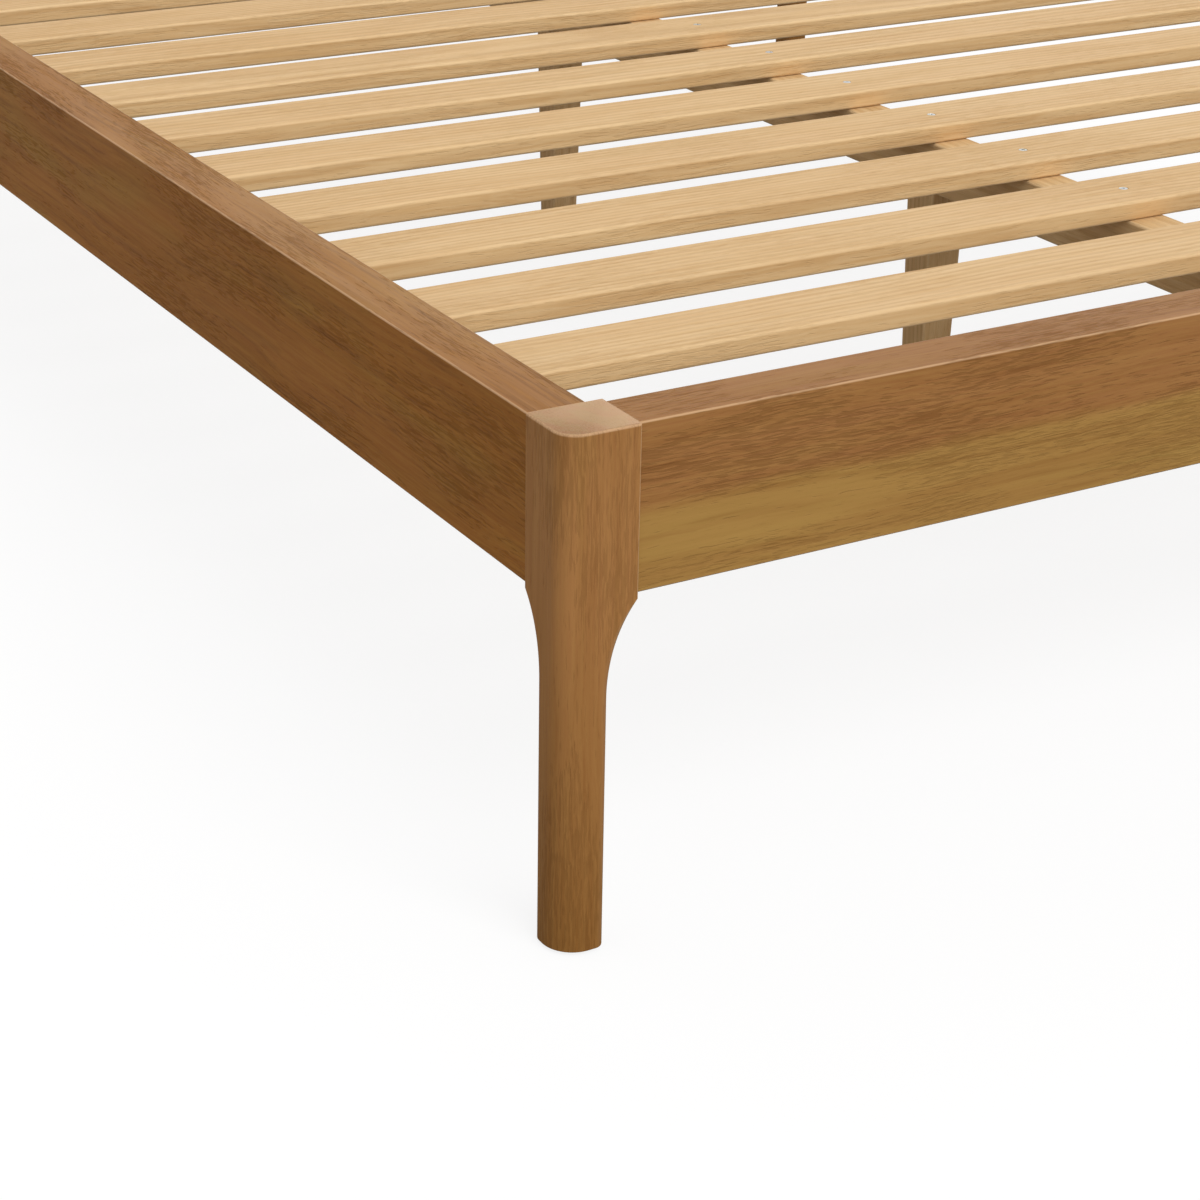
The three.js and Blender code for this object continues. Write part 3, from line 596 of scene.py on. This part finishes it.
def postCutters(end, side):
    # holes for the two rail bolts, in the face against the side rail, and for the glide's pin
    low, high = boxOf(f"{end}_post_{side}")
    cutters = []
    for level in levels:
        bolt = f"rail_bolt_{end}_{side}_{level}"
        (boltLow, boltHigh), middle = boxOf(bolt), middleOf(bolt)
        span = (low.y - holes["beyond"], boltHigh.y + holes["blindGap"])
        if end == "foot":
            span = (boltLow.y - holes["blindGap"], high.y + holes["beyond"])
        cutters.append(roundCutter("Y", (middle.x, middle.z), span, holes["bolt"]))
    glide = f"glide_{end}_{side}"
    middle = middleOf(glide)
    span = (low.z - holes["beyond"], boxOf(glide)[1].z + holes["blindGap"])
    cutters.append(roundCutter("Z", (middle.x, middle.y), span, holes["pin"]))
    return cutters


def makePost(end, side, p, seed):
    low, high = boxOf(f"{end}_post_{side}")
    legWidth, legDepth = legSizes(end, side)
    postWidth, postDepth = high.x - low.x, high.y - low.y
    flareTop = boxOf("foot_rail")[0].z - p["flareDrop"]
    radius = p["flareRadius"]

    def arcFoot(lost):
        return flareTop - math.sqrt(radius ** 2 - (radius - lost) ** 2)

    def gain(height, foot):
        # how far the hollow arc has left the leg's face at a height
        return radius - math.sqrt(radius ** 2 - max(height - foot, 0) ** 2)

    def between(low, high, share):
        return low + (high - low) * share

    footX, footY = arcFoot(postWidth - legWidth), arcFoot(postDepth - legDepth)
    start = min(footX, footY)
    foot, top = (roundedEnd(p[key], p["endSteps"]) for key in ("footRound", "topRound"))
    heights = [(low.z + away, inset, wearAndHighlight) for away, inset, wearAndHighlight in foot]
    heights += [(between(start, flareTop, k / p["flareSteps"]), 0, 0) for k in range(p["flareSteps"] + 1)]
    heights += [(high.z - away, inset, wearAndHighlight) for away, inset, wearAndHighlight in top]
    cornerX, signX = (low.x, 1) if side == "left" else (high.x, -1)
    cornerY, signY = (low.y, 1) if end == "foot" else (high.y, -1)
    rings = []
    for z, inset, wearAndHighlight in sorted(heights):
        climb = min(z, flareTop)
        width, depth = legWidth + gain(climb, footX), legDepth + gain(climb, footY)
        share = ((width - legWidth) / (postWidth - legWidth)) ** p["edgeSharpening"]
        outer = between(p["legCornerRadius"], p["cornerRadius"], (climb - low.z) / (flareTop - low.z))
        edge = between(p["legEdgeRadius"], p["edgeRadius"], share)
        seam = between(p["legEdgeRadius"], p["seamRadius"], share)
        atRails = end == "foot" and z > flareTop  # the rails meet the top of a foot post
        section = roundedSection(
            (0, 0), (width, depth), [outer, edge, seam, seam],
            [p["cornerSteps"]] + [p["edgeSteps"]] * 3, inset, inset * (p["seamShare"] if atRails else 1))
        rings.append([(cornerX + signX * a, cornerY + signY * b, z, max(w, wearAndHighlight)) for a, b, w in section])
    post = loftRings(f"{end}Post{side.title()}", rings)
    combine(post, postCutters(end, side))
    markBoard(post, seed)
    for vertex, tone in zip(post.data.vertices, post.data.attributes["boardDepth"].data):
        tone.value = p["footShade"] * max(0, 1 - vertex.co.z / flareTop)  # painted shade: the foot of a leg is painted darker
    finishPiece(post, oiledAlong["Z"], [f"{end}_post_{side}"])


for number, (end, side) in enumerate((end, side) for end in ends for side in sides):
    makePost(end, side, postShape, postShape["firstSeed"] + number * postShape["seedStep"])
print("posts made")

railShape = {
    "edgeRadius": 0.0015, "endRadius": 0.0004, "seam": 0.0001, "cutEdge": 0.0006,
    "topSkin": 0.0006, "litTopDepth": -0.1, "headToneRise": 0.02,
    "pocketWall": 0.024, "pocketRadius": 0.016, "pocketPastBolt": 0.009, "pocketSteps": 32,
    "pocketMouth": 0.01, "borePastWall": 0.004, "boreReach": 0.05,
}


def halfMoonCutter(wallY, inward, height, xRange, r):
    # flat towards the rail's end, round on the other side
    radius, steps = r["pocketRadius"], r["pocketSteps"]
    turns = [math.pi * k / steps for k in range(steps + 1)]
    outline = [(wallY + inward * radius * math.sin(t), height + radius * math.cos(t), 0) for t in turns]
    return loftRings("pocket", [onAxis("X", outline, x) for x in xRange])


def makeSideRail(side, r, seed, boardDepth):
    node = f"side_rail_{side}"
    low, high = boxOf(node)
    low.y = boxOf(f"foot_post_{side}")[1].y + r["seam"]
    high.y = boxOf(f"head_post_{side}")[0].y - r["seam"]
    rail = addBoard(f"sideRail{side.title()}", low, high, "Y", r["edgeRadius"], r["endRadius"])
    innerFace, inward = (high.x, 1) if side == "left" else (low.x, -1)
    cutters = []
    for end in ends:
        endY, fromEnd = (low.y, 1) if end == "foot" else (high.y, -1)
        wallY = endY + fromEnd * r["pocketWall"]
        for level in levels:
            bolt = middleOf(f"rail_bolt_{end}_{side}_{level}")
            span = sorted((bolt.x - inward * r["pocketPastBolt"], innerFace + inward * r["pocketMouth"]))
            cutters.append(halfMoonCutter(wallY, fromEnd, bolt.z, span, r))
            reach = sorted((wallY + fromEnd * r["borePastWall"], wallY - fromEnd * r["boreReach"]))
            cutters.append(roundCutter("Y", (bolt.x, bolt.z), reach, holes["bolt"]))
    combine(rail, cutters)
    bevelEdges(rail, r["cutEdge"])
    markBoard(rail, seed, boardDepth=boardDepth)
    for vertex, tone in zip(rail.data.vertices, rail.data.attributes["boardDepth"].data):
        if vertex.co.z > high.z - r["topSkin"]:
            tone.value = r["litTopDepth"]  # painted light: the top is painted paler than the sides
    finishPiece(rail, oiledAlong["Y"], [node])


def makeEndRail(end, r, seed, toneEdge, boardDepth):
    node = f"{end}_rail"
    low, high = boxOf(node)
    low.x = boxOf(f"{end}_post_left")[1].x + r["seam"]
    high.x = boxOf(f"{end}_post_right")[0].x - r["seam"]
    rail = addBoard(f"{end}Rail", low, high, "X", r["edgeRadius"], r["endRadius"])
    markBoard(rail, seed, toneEdge, boardDepth)
    finishPiece(rail, oiledAlong["X"], [node])


railLow, railHigh = boxOf("foot_rail")
railMiddle = (railLow.z + railHigh.z) / 2
makeSideRail("left", railShape, seed=1.37, boardDepth=0.9)
makeSideRail("right", railShape, seed=2.61, boardDepth=0.7)
makeEndRail("foot", railShape, seed=0.83, toneEdge=railMiddle, boardDepth=0)
makeEndRail("head", railShape, seed=3.29, toneEdge=railMiddle + railShape["headToneRise"], boardDepth=0.1)
print("rails made")

crestShape = {
    "rise": 0.025, "edgeRadius": 0.004, "endRadius": 0.0004, "seam": 0.0001, "edgeSteps": 6,
    "spanSteps": 72, "toneRise": 0.03, "boardDepth": 0.1,
}


def newGroup(name, inputs, result):
    # an empty Geometry Nodes group with named inputs, for a modifier
    tree = bpy.data.node_groups.new(name, "GeometryNodeTree")
    tree.is_modifier = True
    for label, kind in inputs.items():
        tree.interface.new_socket(label, in_out="INPUT", socket_type="NodeSocket" + kind)
    tree.interface.new_socket(result, in_out="OUTPUT", socket_type="NodeSocketGeometry")
    n = nodeBuilder(tree)
    return n, n.node("NodeGroupInput").outputs


def finishTree(n, geometry, material):
    realize = n.node("GeometryNodeRealizeInstances", Geometry=geometry)
    paint = n.node("GeometryNodeSetMaterial", Geometry=realize.outputs[0], Material=material)
    n.feed(n.node("NodeGroupOutput").inputs[0], paint.outputs[0])
    return n.owner


def archTree(material):
    # bends the upper half of a straight board up into an arch, more towards the middle of its span
    kinds = {"Board": "Geometry", "Rise": "Float", "HalfSpan": "Float", "LowZ": "Float", "HighZ": "Float"}
    n, given = newGroup("archedTop", kinds, "Board")
    split = n.node("ShaderNodeSeparateXYZ", Vector=n.node("GeometryNodeInputPosition").outputs[0])
    across = n.math("DIVIDE", split.outputs["X"], given["HalfSpan"])
    bow = n.less(1.0, n.times(across, across))
    height = n.less(given["HighZ"], given["LowZ"])
    share = n.math("DIVIDE", n.less(split.outputs["Z"], given["LowZ"]), height)
    lift = n.times(n.times(bow, given["Rise"]), n.ramp(share, 0.1, 0.9))
    move = n.node("GeometryNodeSetPosition", Geometry=given["Board"], Offset=n.join(0.0, 0.0, lift))
    return finishTree(n, move.outputs[0], material)


def runTree(obj, tree, values):
    # sets the inputs by their identifiers and keeps the result as a plain mesh
    modifier = obj.modifiers.new(tree.name, "NODES")
    modifier.node_group = tree
    for item in tree.interface.items_tree:
        if item.in_out == "INPUT" and item.name in values:
            modifier[item.identifier] = values[item.name]
    return applied(obj)


def rowTree(material):
    # copies of one piece at even steps, each with its own seed and a free turn about its own upright
    kinds = {"Piece": "Object", "Count": "Int", "Start": "Vector", "Step": "Vector", "Turn": "Vector",
             "Spin": "Float", "Seed": "Int"}
    n, given = newGroup("rowOfPieces", kinds, "Row")

    def draw(top):
        item = n.node("FunctionNodeRandomValue", Seed=given["Seed"])
        n.feed(item.inputs[3], top)
        return item.outputs[1]

    line = n.node("GeometryNodeMeshLine", Count=given["Count"], Start_Location=given["Start"],
                  Offset=given["Step"])
    piece = n.node("GeometryNodeObjectInfo", Object=given["Piece"])
    place = n.node("GeometryNodeInstanceOnPoints", Points=line.outputs[0], Instance=piece.outputs["Geometry"],
                   Rotation=given["Turn"])
    turn = n.node("GeometryNodeRotateInstances", Instances=place.outputs[0],
                  Rotation=n.join(0.0, 0.0, draw(given["Spin"])))
    store = n.node("GeometryNodeStoreNamedAttribute", {"data_type": "FLOAT", "domain": "INSTANCE"},
                   Geometry=turn.outputs[0], Name="boardSeed", Value=draw(9.0))
    return finishTree(n, store.outputs[0], material)


rowTrees = {}


def makeRow(name, piece, material, start, step, count, seed, turn=(0, 0, 0), spin=0.0):
    # the pattern piece stays, and its maker removes it
    if material.name not in rowTrees:
        rowTrees[material.name] = rowTree(material)
    row = addObject(name, bpy.data.meshes.new(name))
    values = {"Piece": piece, "Count": count, "Start": tuple(start), "Step": tuple(step),
              "Turn": tuple(turn), "Spin": spin, "Seed": seed}
    return runTree(row, rowTrees[material.name], values)


def makeCrest(c, seed):
    low, high = boxOf("crest_rail")
    low.x = boxOf("head_post_left")[1].x + c["seam"]
    high.x = boxOf("head_post_right")[0].x - c["seam"]
    straightTop = high.z - c["rise"]

    def ring(at, inset, wearAndHighlight):
        section = roundedSection(
            (low.y, low.z), (high.y, straightTop), [c["edgeRadius"]] * 4, [c["edgeSteps"]] * 4, inset)
        return onAxis("X", section, at, wearAndHighlight)

    places = endLevels(low.x, high.x, c["endRadius"])
    inner = (low.x + c["endRadius"], high.x - c["endRadius"])
    steps = c["spanSteps"]
    places += [(inner[0] + (inner[1] - inner[0]) * k / steps, 0, 0) for k in range(1, steps)]
    crest = loftRings("crestRail", [ring(*place) for place in sorted(places)])
    values = {"Rise": c["rise"], "HalfSpan": (high.x - low.x) / 2, "LowZ": low.z, "HighZ": straightTop}
    runTree(crest, archTree(oiledAlong["X"]), values)
    markBoard(crest, seed, low.z + c["toneRise"], c["boardDepth"])
    finishPiece(crest, oiledAlong["X"], ["crest_rail"])


spindleShape = {"edgeRadius": 0.004, "endRadius": 0.0003, "seam": 0.0001, "rowSeed": 4}


def makeSpindles(p):
    names = nodesNamed("spindle_")
    low, high = boxOf(names[0])
    low.z = boxOf("head_rail")[1].z + p["seam"]
    high.z = boxOf("crest_rail")[0].z - p["seam"]
    middle = (low + high) / 2
    pitch = middleOf(names[1]) - middleOf(names[0])
    pitch.z = 0
    spindle = addBoard("spindle", low - middle, high - middle, "Z", p["edgeRadius"], p["endRadius"])
    row = makeRow("spindles", spindle, oiledAlong["Z"], middle, pitch, len(names), p["rowSeed"])
    bpy.data.objects.remove(spindle)
    finishPiece(row, oiledAlong["Z"], names)


makeCrest(crestShape, seed=5.13)
makeSpindles(spindleShape)
print("headboard made")

screwShape = {
    "headRadius": 0.0042, "dome": 0.0004, "recessArm": 0.0021, "recessHalf": 0.00055, "recessDepth": 0.0014,
    "recessTaper": 0.7, "skirt": 0.0008, "neckShare": 0.55, "neckDrop": 2.2, "rimDrop": 0.25,
    "shoulderShare": 0.93, "shoulderRise": 0.7, "crownShare": 0.72,
    "drop": 0.0005,  # how far a head lies below the wood's face
}


def crossOutline(arm, half):
    # outline of a cross recess with six points to a quarter
    corner = math.atan2(half, arm)
    first = [0, corner, (corner + math.pi / 4) / 2, math.pi / 4]
    quarter = first + [math.pi / 2 - turn for turn in first[2:0:-1]]
    outline = []
    for k in range(4):
        for turn in quarter:
            nearest = min(turn, math.pi / 2 - turn)
            reach = arm / math.cos(nearest) if nearest <= corner + 1e-9 else half / math.sin(nearest)
            outline.append((reach, turn + k * math.pi / 2))
    return outline


def makeScrewHead(p):
    # upright, with the rim of its head at z = 0
    outline = crossOutline(p["recessArm"], p["recessHalf"])

    def ring(radius, z):
        return [(radius * math.cos(turn), radius * math.sin(turn), z) for _, turn in outline]

    def recess(scale, z):
        places = [(scale * reach, turn) for reach, turn in outline]
        return [(r * math.cos(turn), r * math.sin(turn), z) for r, turn in places]

    head, skirt, dome = p["headRadius"], p["skirt"], p["dome"]
    rings = [
        ring(head * p["neckShare"], -skirt * p["neckDrop"]), ring(head, -skirt * p["rimDrop"]), ring(head, 0),
        ring(head * p["shoulderShare"], dome * p["shoulderRise"]), ring(head * p["crownShare"], dome),
        recess(1, dome), recess(p["recessTaper"], -p["recessDepth"]),
    ]
    return loftRings("screwHead", rings)


def joinPieces(name, pieces):
    # one mesh from several finished meshes
    bm = bmesh.new()
    for piece in pieces:
        bm.from_mesh(piece.data)
    mesh = bpy.data.meshes.new(name)
    bm.to_mesh(mesh)
    bm.free()
    for piece in pieces:
        bpy.data.objects.remove(piece)
    return addObject(name, mesh)


slatShape = {
    "edgeRadius": 0.003, "endRadius": 0.0015, "fromEnd": 0.017, "rowSeed": 11, "screwSeed": 21,
}


def makeSlats(p, screw):
    names = nodesNamed("slat_0") + nodesNamed("slat_1")
    low, high = boxOf(names[0])
    middle = (low + high) / 2
    pitch = (middleOf(names[-1]) - middle) / (len(names) - 1)
    slat = addBoard("slat", low - middle, high - middle, "X", p["edgeRadius"], p["endRadius"])
    half = (high - low) / 2
    acrossBed = [-half.x + p["fromEnd"], 0, half.x - p["fromEnd"]]
    combine(slat, [sinkCutter("Z", (x, 0), half.z, 1) for x in acrossBed])
    row = makeRow("slats", slat, bareAlong["X"], middle, pitch, len(names), p["rowSeed"])
    bpy.data.objects.remove(slat)
    markBoard(row)
    finishPiece(row, bareAlong["X"], names)
    screws = []
    for k, x in enumerate(acrossBed):
        start = (x, middle.y, high.z - screwShape["drop"])
        screws.append(makeRow("screws", screw, finishes["zinc"], start, pitch, len(names),
                              p["screwSeed"] + k, spin=math.pi))
    finishPiece(joinPieces("slatScrews", screws), finishes["zinc"])


ledgeShape = {
    "edgeRadius": 0.002, "endRadius": 0.001, "screwPitch": 0.24, "fromEnd": 0.06, "screwSeed": 31,
}


def makeLedge(side, p, seed, screw):
    node = f"slat_ledge_{side}"
    low, high = boxOf(node)
    ledge = addBoard(f"slatLedge{side.title()}", low, high, "Y", p["edgeRadius"], p["endRadius"])
    face, outward = (high.x, 1) if side == "left" else (low.x, -1)
    run = high.y - low.y - 2 * p["fromEnd"]
    count = round(run / p["screwPitch"]) + 1
    step = run / (count - 1)
    height = (low.z + high.z) / 2
    places = [low.y + p["fromEnd"] + k * step for k in range(count)]
    combine(ledge, [sinkCutter("X", (y, height), face, outward) for y in places])
    markBoard(ledge, seed)
    finishPiece(ledge, bareAlong["Y"], [node])
    start = (face - outward * screwShape["drop"], places[0], height)
    screws = makeRow(f"ledgeScrews{side.title()}", screw, finishes["zinc"], start, (0, step, 0), count,
                     p["screwSeed"], turn=(0, outward * math.pi / 2, 0), spin=math.pi)
    finishPiece(screws, finishes["zinc"])


beamShape = {"edgeRadius": 0.003, "endRadius": 0.001}


def makeBeam(p, seed):
    low, high = boxOf("centre_beam")
    beam = addBoard("centreBeam", low, high, "Y", p["edgeRadius"], p["endRadius"])
    cutters = []
    for end in ends:
        bolt = f"centre_leg_bolt_{end}"
        span = (low.z - holes["beyond"], boxOf(bolt)[1].z + holes["blindGap"])
        cutters.append(roundCutter("Z", middleOf(bolt)[:2], span, holes["bolt"]))
    combine(beam, cutters)
    markBoard(beam, seed)
    finishPiece(beam, bareAlong["Y"], ["centre_beam"])


hangerShape = {
    "sheet": 0.0025, "flange": 0.02, "bend": 0.002, "bendSteps": 8, "plateSteps": 4, "holeSpacing": 0.026,
    "edge": 0.0003, "screwLift": 0.0001, "screwSeed": 41,
}


def troughOutline(half, height, p):
    # section of the bent sheet that holds the beam, with round bends
    sheet, bend, steps = p["sheet"], p["bend"], p["bendSteps"]
    outer, inner = bend + sheet, bend

    def corner(side, radius):
        arc = quarterArc(steps)
        return [(side * (half - outer + radius * a), outer - radius * b, 0) for a, b in arc]

    outside = corner(-1, outer)[::-1] + corner(1, outer)
    inside = corner(1, inner)[::-1] + corner(-1, inner)
    return ([(-half, height, 0)] + outside + [(half, height, 0), (half - sheet, height, 0)] + inside
            + [(-half + sheet, height, 0)])


def makeHanger(end, p, screw):
    node = f"beam_hanger_{end}"
    low, high = boxOf(node)
    half = (high.x - low.x) / 2
    height = high.z - low.z
    back, towardsBeam = (low.y, 1) if end == "foot" else (high.y, -1)
    reach = high.y - low.y
    plateSection = roundedSection((-half, low.z), (half, high.z), [p["bend"]] * 4, [p["plateSteps"]] * 4)
    span = (back, back + towardsBeam * p["sheet"])
    plate = loftRings("plate", [onAxis("Y", plateSection, y) for y in span])
    trough = [(x, low.z + z, w) for x, z, w in troughOutline(half - p["flange"], height, p)]
    front = back + towardsBeam * reach
    body = loftRings(f"beamHanger{end.title()}", [onAxis("Y", trough, y) for y in (back, front)])
    combine(body, [plate], "UNION")
    across = half - p["flange"] / 2
    middle = (low.z + high.z) / 2
    places = [(x, middle + k * p["holeSpacing"] / 2) for x in (-across, across) for k in (-1, 1)]
    plateFace = back + towardsBeam * p["sheet"]
    through = p["sheet"] + holes["sinkPast"]
    combine(body, [sinkCutter("Y", place, plateFace, towardsBeam, through) for place in places])
    bevelEdges(body, p["edge"], angle=50)
    finishPiece(body, finishes["blackSteel"], [node])
    face = plateFace + towardsBeam * p["screwLift"]
    turn = (-towardsBeam * math.pi / 2, 0, 0)
    rows = []
    for k, x in enumerate((-across, across)):
        start, step = (x, face, middle - p["holeSpacing"] / 2), (0, 0, p["holeSpacing"])
        rows.append(makeRow("row", screw, finishes["zinc"], start, step, 2, p["screwSeed"] + k,
                            turn, math.pi))
    finishPiece(joinPieces(f"hangerScrews{end.title()}", rows), finishes["zinc"])


centreLegShape = {
    "footShare": 0.762, "edgeRadius": 0.0025, "endRadius": 0.001, "edgeSteps": 4,
    "studRoom": 0.008, "holeEdge": 0.0005,
}


def makeCentreLeg(end, p, seed):
    node = f"centre_leg_{end}"
    low, high = boxOf(node)
    middle = (low + high) / 2
    topHalf = (high.x - low.x) / 2
    rings = []
    for z, inset, wearAndHighlight in endLevels(low.z, high.z, p["endRadius"]):
        half = topHalf * (p["footShare"] + (1 - p["footShare"]) * (z - low.z) / (high.z - low.z))
        square = ((middle.x - half, middle.y - half), (middle.x + half, middle.y + half))
        section = roundedSection(*square, [p["edgeRadius"]] * 4, [p["edgeSteps"]] * 4, inset)
        rings.append(onAxis("Z", section, z, wearAndHighlight))
    leg = loftRings(f"centreLeg{end.title()}", rings)
    bolt = boxOf(f"centre_leg_bolt_{end}")
    centre, past = (middle.x, middle.y), holes["beyond"]
    # the leveller's stud moves in the lower hole
    slide = (low.z - past, boxOf(f"leveller_{end}")[1].z + p["studRoom"])
    combine(leg, [
        roundCutter("Z", centre, slide, holes["bolt"]),
        roundCutter("Z", centre, (bolt[0].z - holes["blindGap"], high.z + past), holes["bolt"]),
    ])
    bevelEdges(leg, p["holeEdge"])
    markBoard(leg, seed)
    finishPiece(leg, bareAlong["Z"], [node])


levellerShape = {
    "padThickness": 0.005, "padRound": 0.0015, "roundSteps": 5, "ribs": 30, "ribDepth": 0.0006,
    "soleShare": 0.72, "bossShares": (0.55, 0.5), "bossHeight": 0.0004,
    "hexAcross": 0.011, "hexEase": 0.93, "collarTop": 0.009, "collarGap": 0.0005,
    "collarEdges": (0.0009, 0.0005),
    "studRadius": 0.004, "studOverlap": 0.0012, "tipFade": 0.001, "tipTaper": 0.0006,
    "threadPitch": 0.00125, "threadDepth": 0.0007, "stepsAround": 24, "stepsPerTurn": 6,
}


def makeLeveller(end, p):
    node = f"leveller_{end}"
    low, high = boxOf(node)
    centre = middleOf(node)[:2]
    padRadius = (high.x - low.x) / 2
    count = p["ribs"] * 4

    def circle(radius, z, grip=0.0):
        # a shallow wave round the rim lets fingers turn the pad
        def wave(turn):
            return radius - grip * (1 - math.cos(p["ribs"] * turn)) / 2
        return ringRound("Z", centre, low.z + z, wave, count)

    def hexagon(across, z):
        return ringRound("Z", centre, low.z + z, hexagonal(across), count)

    rim, thick, deep = p["padRound"], p["padThickness"], p["ribDepth"]
    arc = quarterArc(p["roundSteps"])
    rings = [circle(padRadius * p["soleShare"], 0)]
    rings += [circle(padRadius - rim + rim * a, rim - rim * b, deep * a) for a, b in arc]
    rings += [circle(padRadius - rim + rim * b, thick - rim + rim * a, deep * b) for a, b in arc]
    rings += [circle(padRadius * share, thick + p["bossHeight"]) for share in p["bossShares"]]
    pad = loftRings(f"levellerPad{end.title()}", rings)
    finishPiece(pad, finishes["padPlastic"], [node], body=f"leveller_{end}_end")

    across, eased = p["hexAcross"], p["hexAcross"] * p["hexEase"]
    lowEdge, highEdge = p["collarEdges"]
    nut = loftRings("nut", [
        hexagon(eased, thick + p["collarGap"]), hexagon(across, thick + lowEdge),
        hexagon(across, p["collarTop"] - highEdge), hexagon(eased, p["collarTop"]),
    ])
    top = high.z - low.z
    start = p["collarTop"] - p["studOverlap"]
    total = round((top - start) / p["threadPitch"] * p["stepsPerTurn"])

    def threadRing(z):
        fade = min(1, (top - z) / p["tipFade"])

        def reach(turn):
            phase = (z / p["threadPitch"] - turn / (2 * math.pi)) % 1
            return p["studRadius"] - p["threadDepth"] * abs(2 * phase - 1) - p["tipTaper"] * (1 - fade)
        return ringRound("Z", centre, low.z + z, reach, p["stepsAround"])

    stud = loftRings("stud", [threadRing(start + (top - start) * k / total) for k in range(total + 1)])
    screwed = joinPieces(f"levellerStud{end.title()}", [nut, stud])
    finishPiece(screwed, finishes["zinc"], body=f"leveller_{end}_end", angle=50)


boltShape = {
    "headRadius": 0.0065, "headHeight": 0.0066, "edge": 0.0006, "socket": 0.006, "socketDepth": 0.004,
    "socketMouth": 1.08, "shankRadius": 0.0039, "tipShare": 0.8, "washerRadius": 0.0082,
    "washerThickness": 0.0012, "washerRoom": 0.0003, "gap": 0.0001, "ease": 0.0002, "count": 36,
}


def makeRailBolt(end, side, level, p):
    node = f"rail_bolt_{end}_{side}_{level}"
    low, high = boxOf(node)
    centre = (low.x + high.x) / 2, (low.z + high.z) / 2
    postLow, postHigh = boxOf(f"{end}_post_{side}")
    towardsPost, face, tip = (-1, postHigh.y, low.y) if end == "foot" else (1, postLow.y, high.y)
    # the head bears on a washer against the pocket's wall
    wall = face - towardsPost * (railShape["pocketWall"] + railShape["seam"])

    def ring(reach, y):
        return ringRound("Y", centre, y, reach, p["count"])

    seat = wall - towardsPost * (p["washerThickness"] + p["gap"])
    top = seat - towardsPost * p["headHeight"]
    edge = towardsPost * p["edge"]
    shank, head, ease = p["shankRadius"], p["headRadius"], p["ease"]
    socket = hexagonal(p["socket"])
    bolt = loftRings("bolt", [
        ring(shank * p["tipShare"], tip), ring(shank, tip - edge), ring(shank, seat),
        ring(head - ease, seat), ring(head, seat - edge / 3),
        ring(head, top + edge), ring(head - p["edge"] / 3, top + edge / 3),
        ring(head - p["edge"], top), ring(hexagonal(p["socket"] * p["socketMouth"]), top),
        ring(socket, top + edge / 2), ring(socket, top + towardsPost * p["socketDepth"]),
    ])
    outer, inner = p["washerRadius"], shank + p["washerRoom"]
    near, far = seat + towardsPost * p["gap"], wall - towardsPost * p["gap"]
    rim = towardsPost * ease
    washer = loftRings("washer", [
        ring(inner, near), ring(outer - ease, near), ring(outer, near + rim),
        ring(outer, far - rim), ring(outer - ease, far), ring(inner, far),
    ], looped=True)
    return joinPieces(f"railBolt{end.title()}{side.title()}{level.title()}", [bolt, washer]), node


glideShape = {
    "edge": 0.0012, "edgeSteps": 6, "dome": 0.0004, "soleShares": (0.3, 0.7), "domeShare": 0.3,
    "pinRadius": 0.002, "pinTaper": 0.004, "pinTip": 0.0003, "rim": 0.0003, "gap": 0.0001, "count": 40,
}


def makeGlide(end, side, p):
    node = f"glide_{end}_{side}"
    low, high = boxOf(node)
    radius = (high.x - low.x) / 2
    seat = boxOf(f"{end}_post_{side}")[0].z - p["gap"]

    def circle(r, z):
        return ringRound("Z", middleOf(node)[:2], z, r, p["count"])

    edge, rim, pin = p["edge"], p["rim"], p["pinRadius"]
    inner, outer = p["soleShares"]
    rings = [circle(radius * inner, low.z), circle(radius * outer, low.z + p["dome"] * p["domeShare"])]
    bottom = low.z + p["dome"] + edge
    rings += [circle(radius - edge + edge * a, bottom - edge * b) for a, b in quarterArc(p["edgeSteps"])]
    rings += [circle(radius, seat - rim), circle(radius - rim, seat), circle(pin, seat),
              circle(pin, high.z - p["pinTaper"]), circle(p["pinTip"], high.z)]
    glide = loftRings(f"glide{end.title()}{side.title()}", rings)
    finishPiece(glide, finishes["nylon"], [node])


screwHead = makeScrewHead(screwShape)
makeSlats(slatShape, screwHead)
print("slats made")
for number, side in enumerate(sides):
    makeLedge(side, ledgeShape, 6.2 + number, screwHead)
makeBeam(beamShape, 8.4)
for number, end in enumerate(ends):
    makeHanger(end, hangerShape, screwHead)
    makeCentreLeg(end, centreLegShape, 9.1 + number)
    makeLeveller(end, levellerShape)
    boltNode = bpy.data.objects[f"centre_leg_bolt_{end}"]
    boltNode.data.materials.clear()
    boltNode.data.materials.append(finishes["zinc"])
bpy.data.objects.remove(screwHead)
print("ledges, beam and centre legs made")
for end in ends:
    for side in sides:
        makeGlide(end, side, glideShape)
        for level in levels:
            bolt, node = makeRailBolt(end, side, level, boltShape)
            finishPiece(bolt, finishes["zinc"], [node])
print("bolts and glides made")
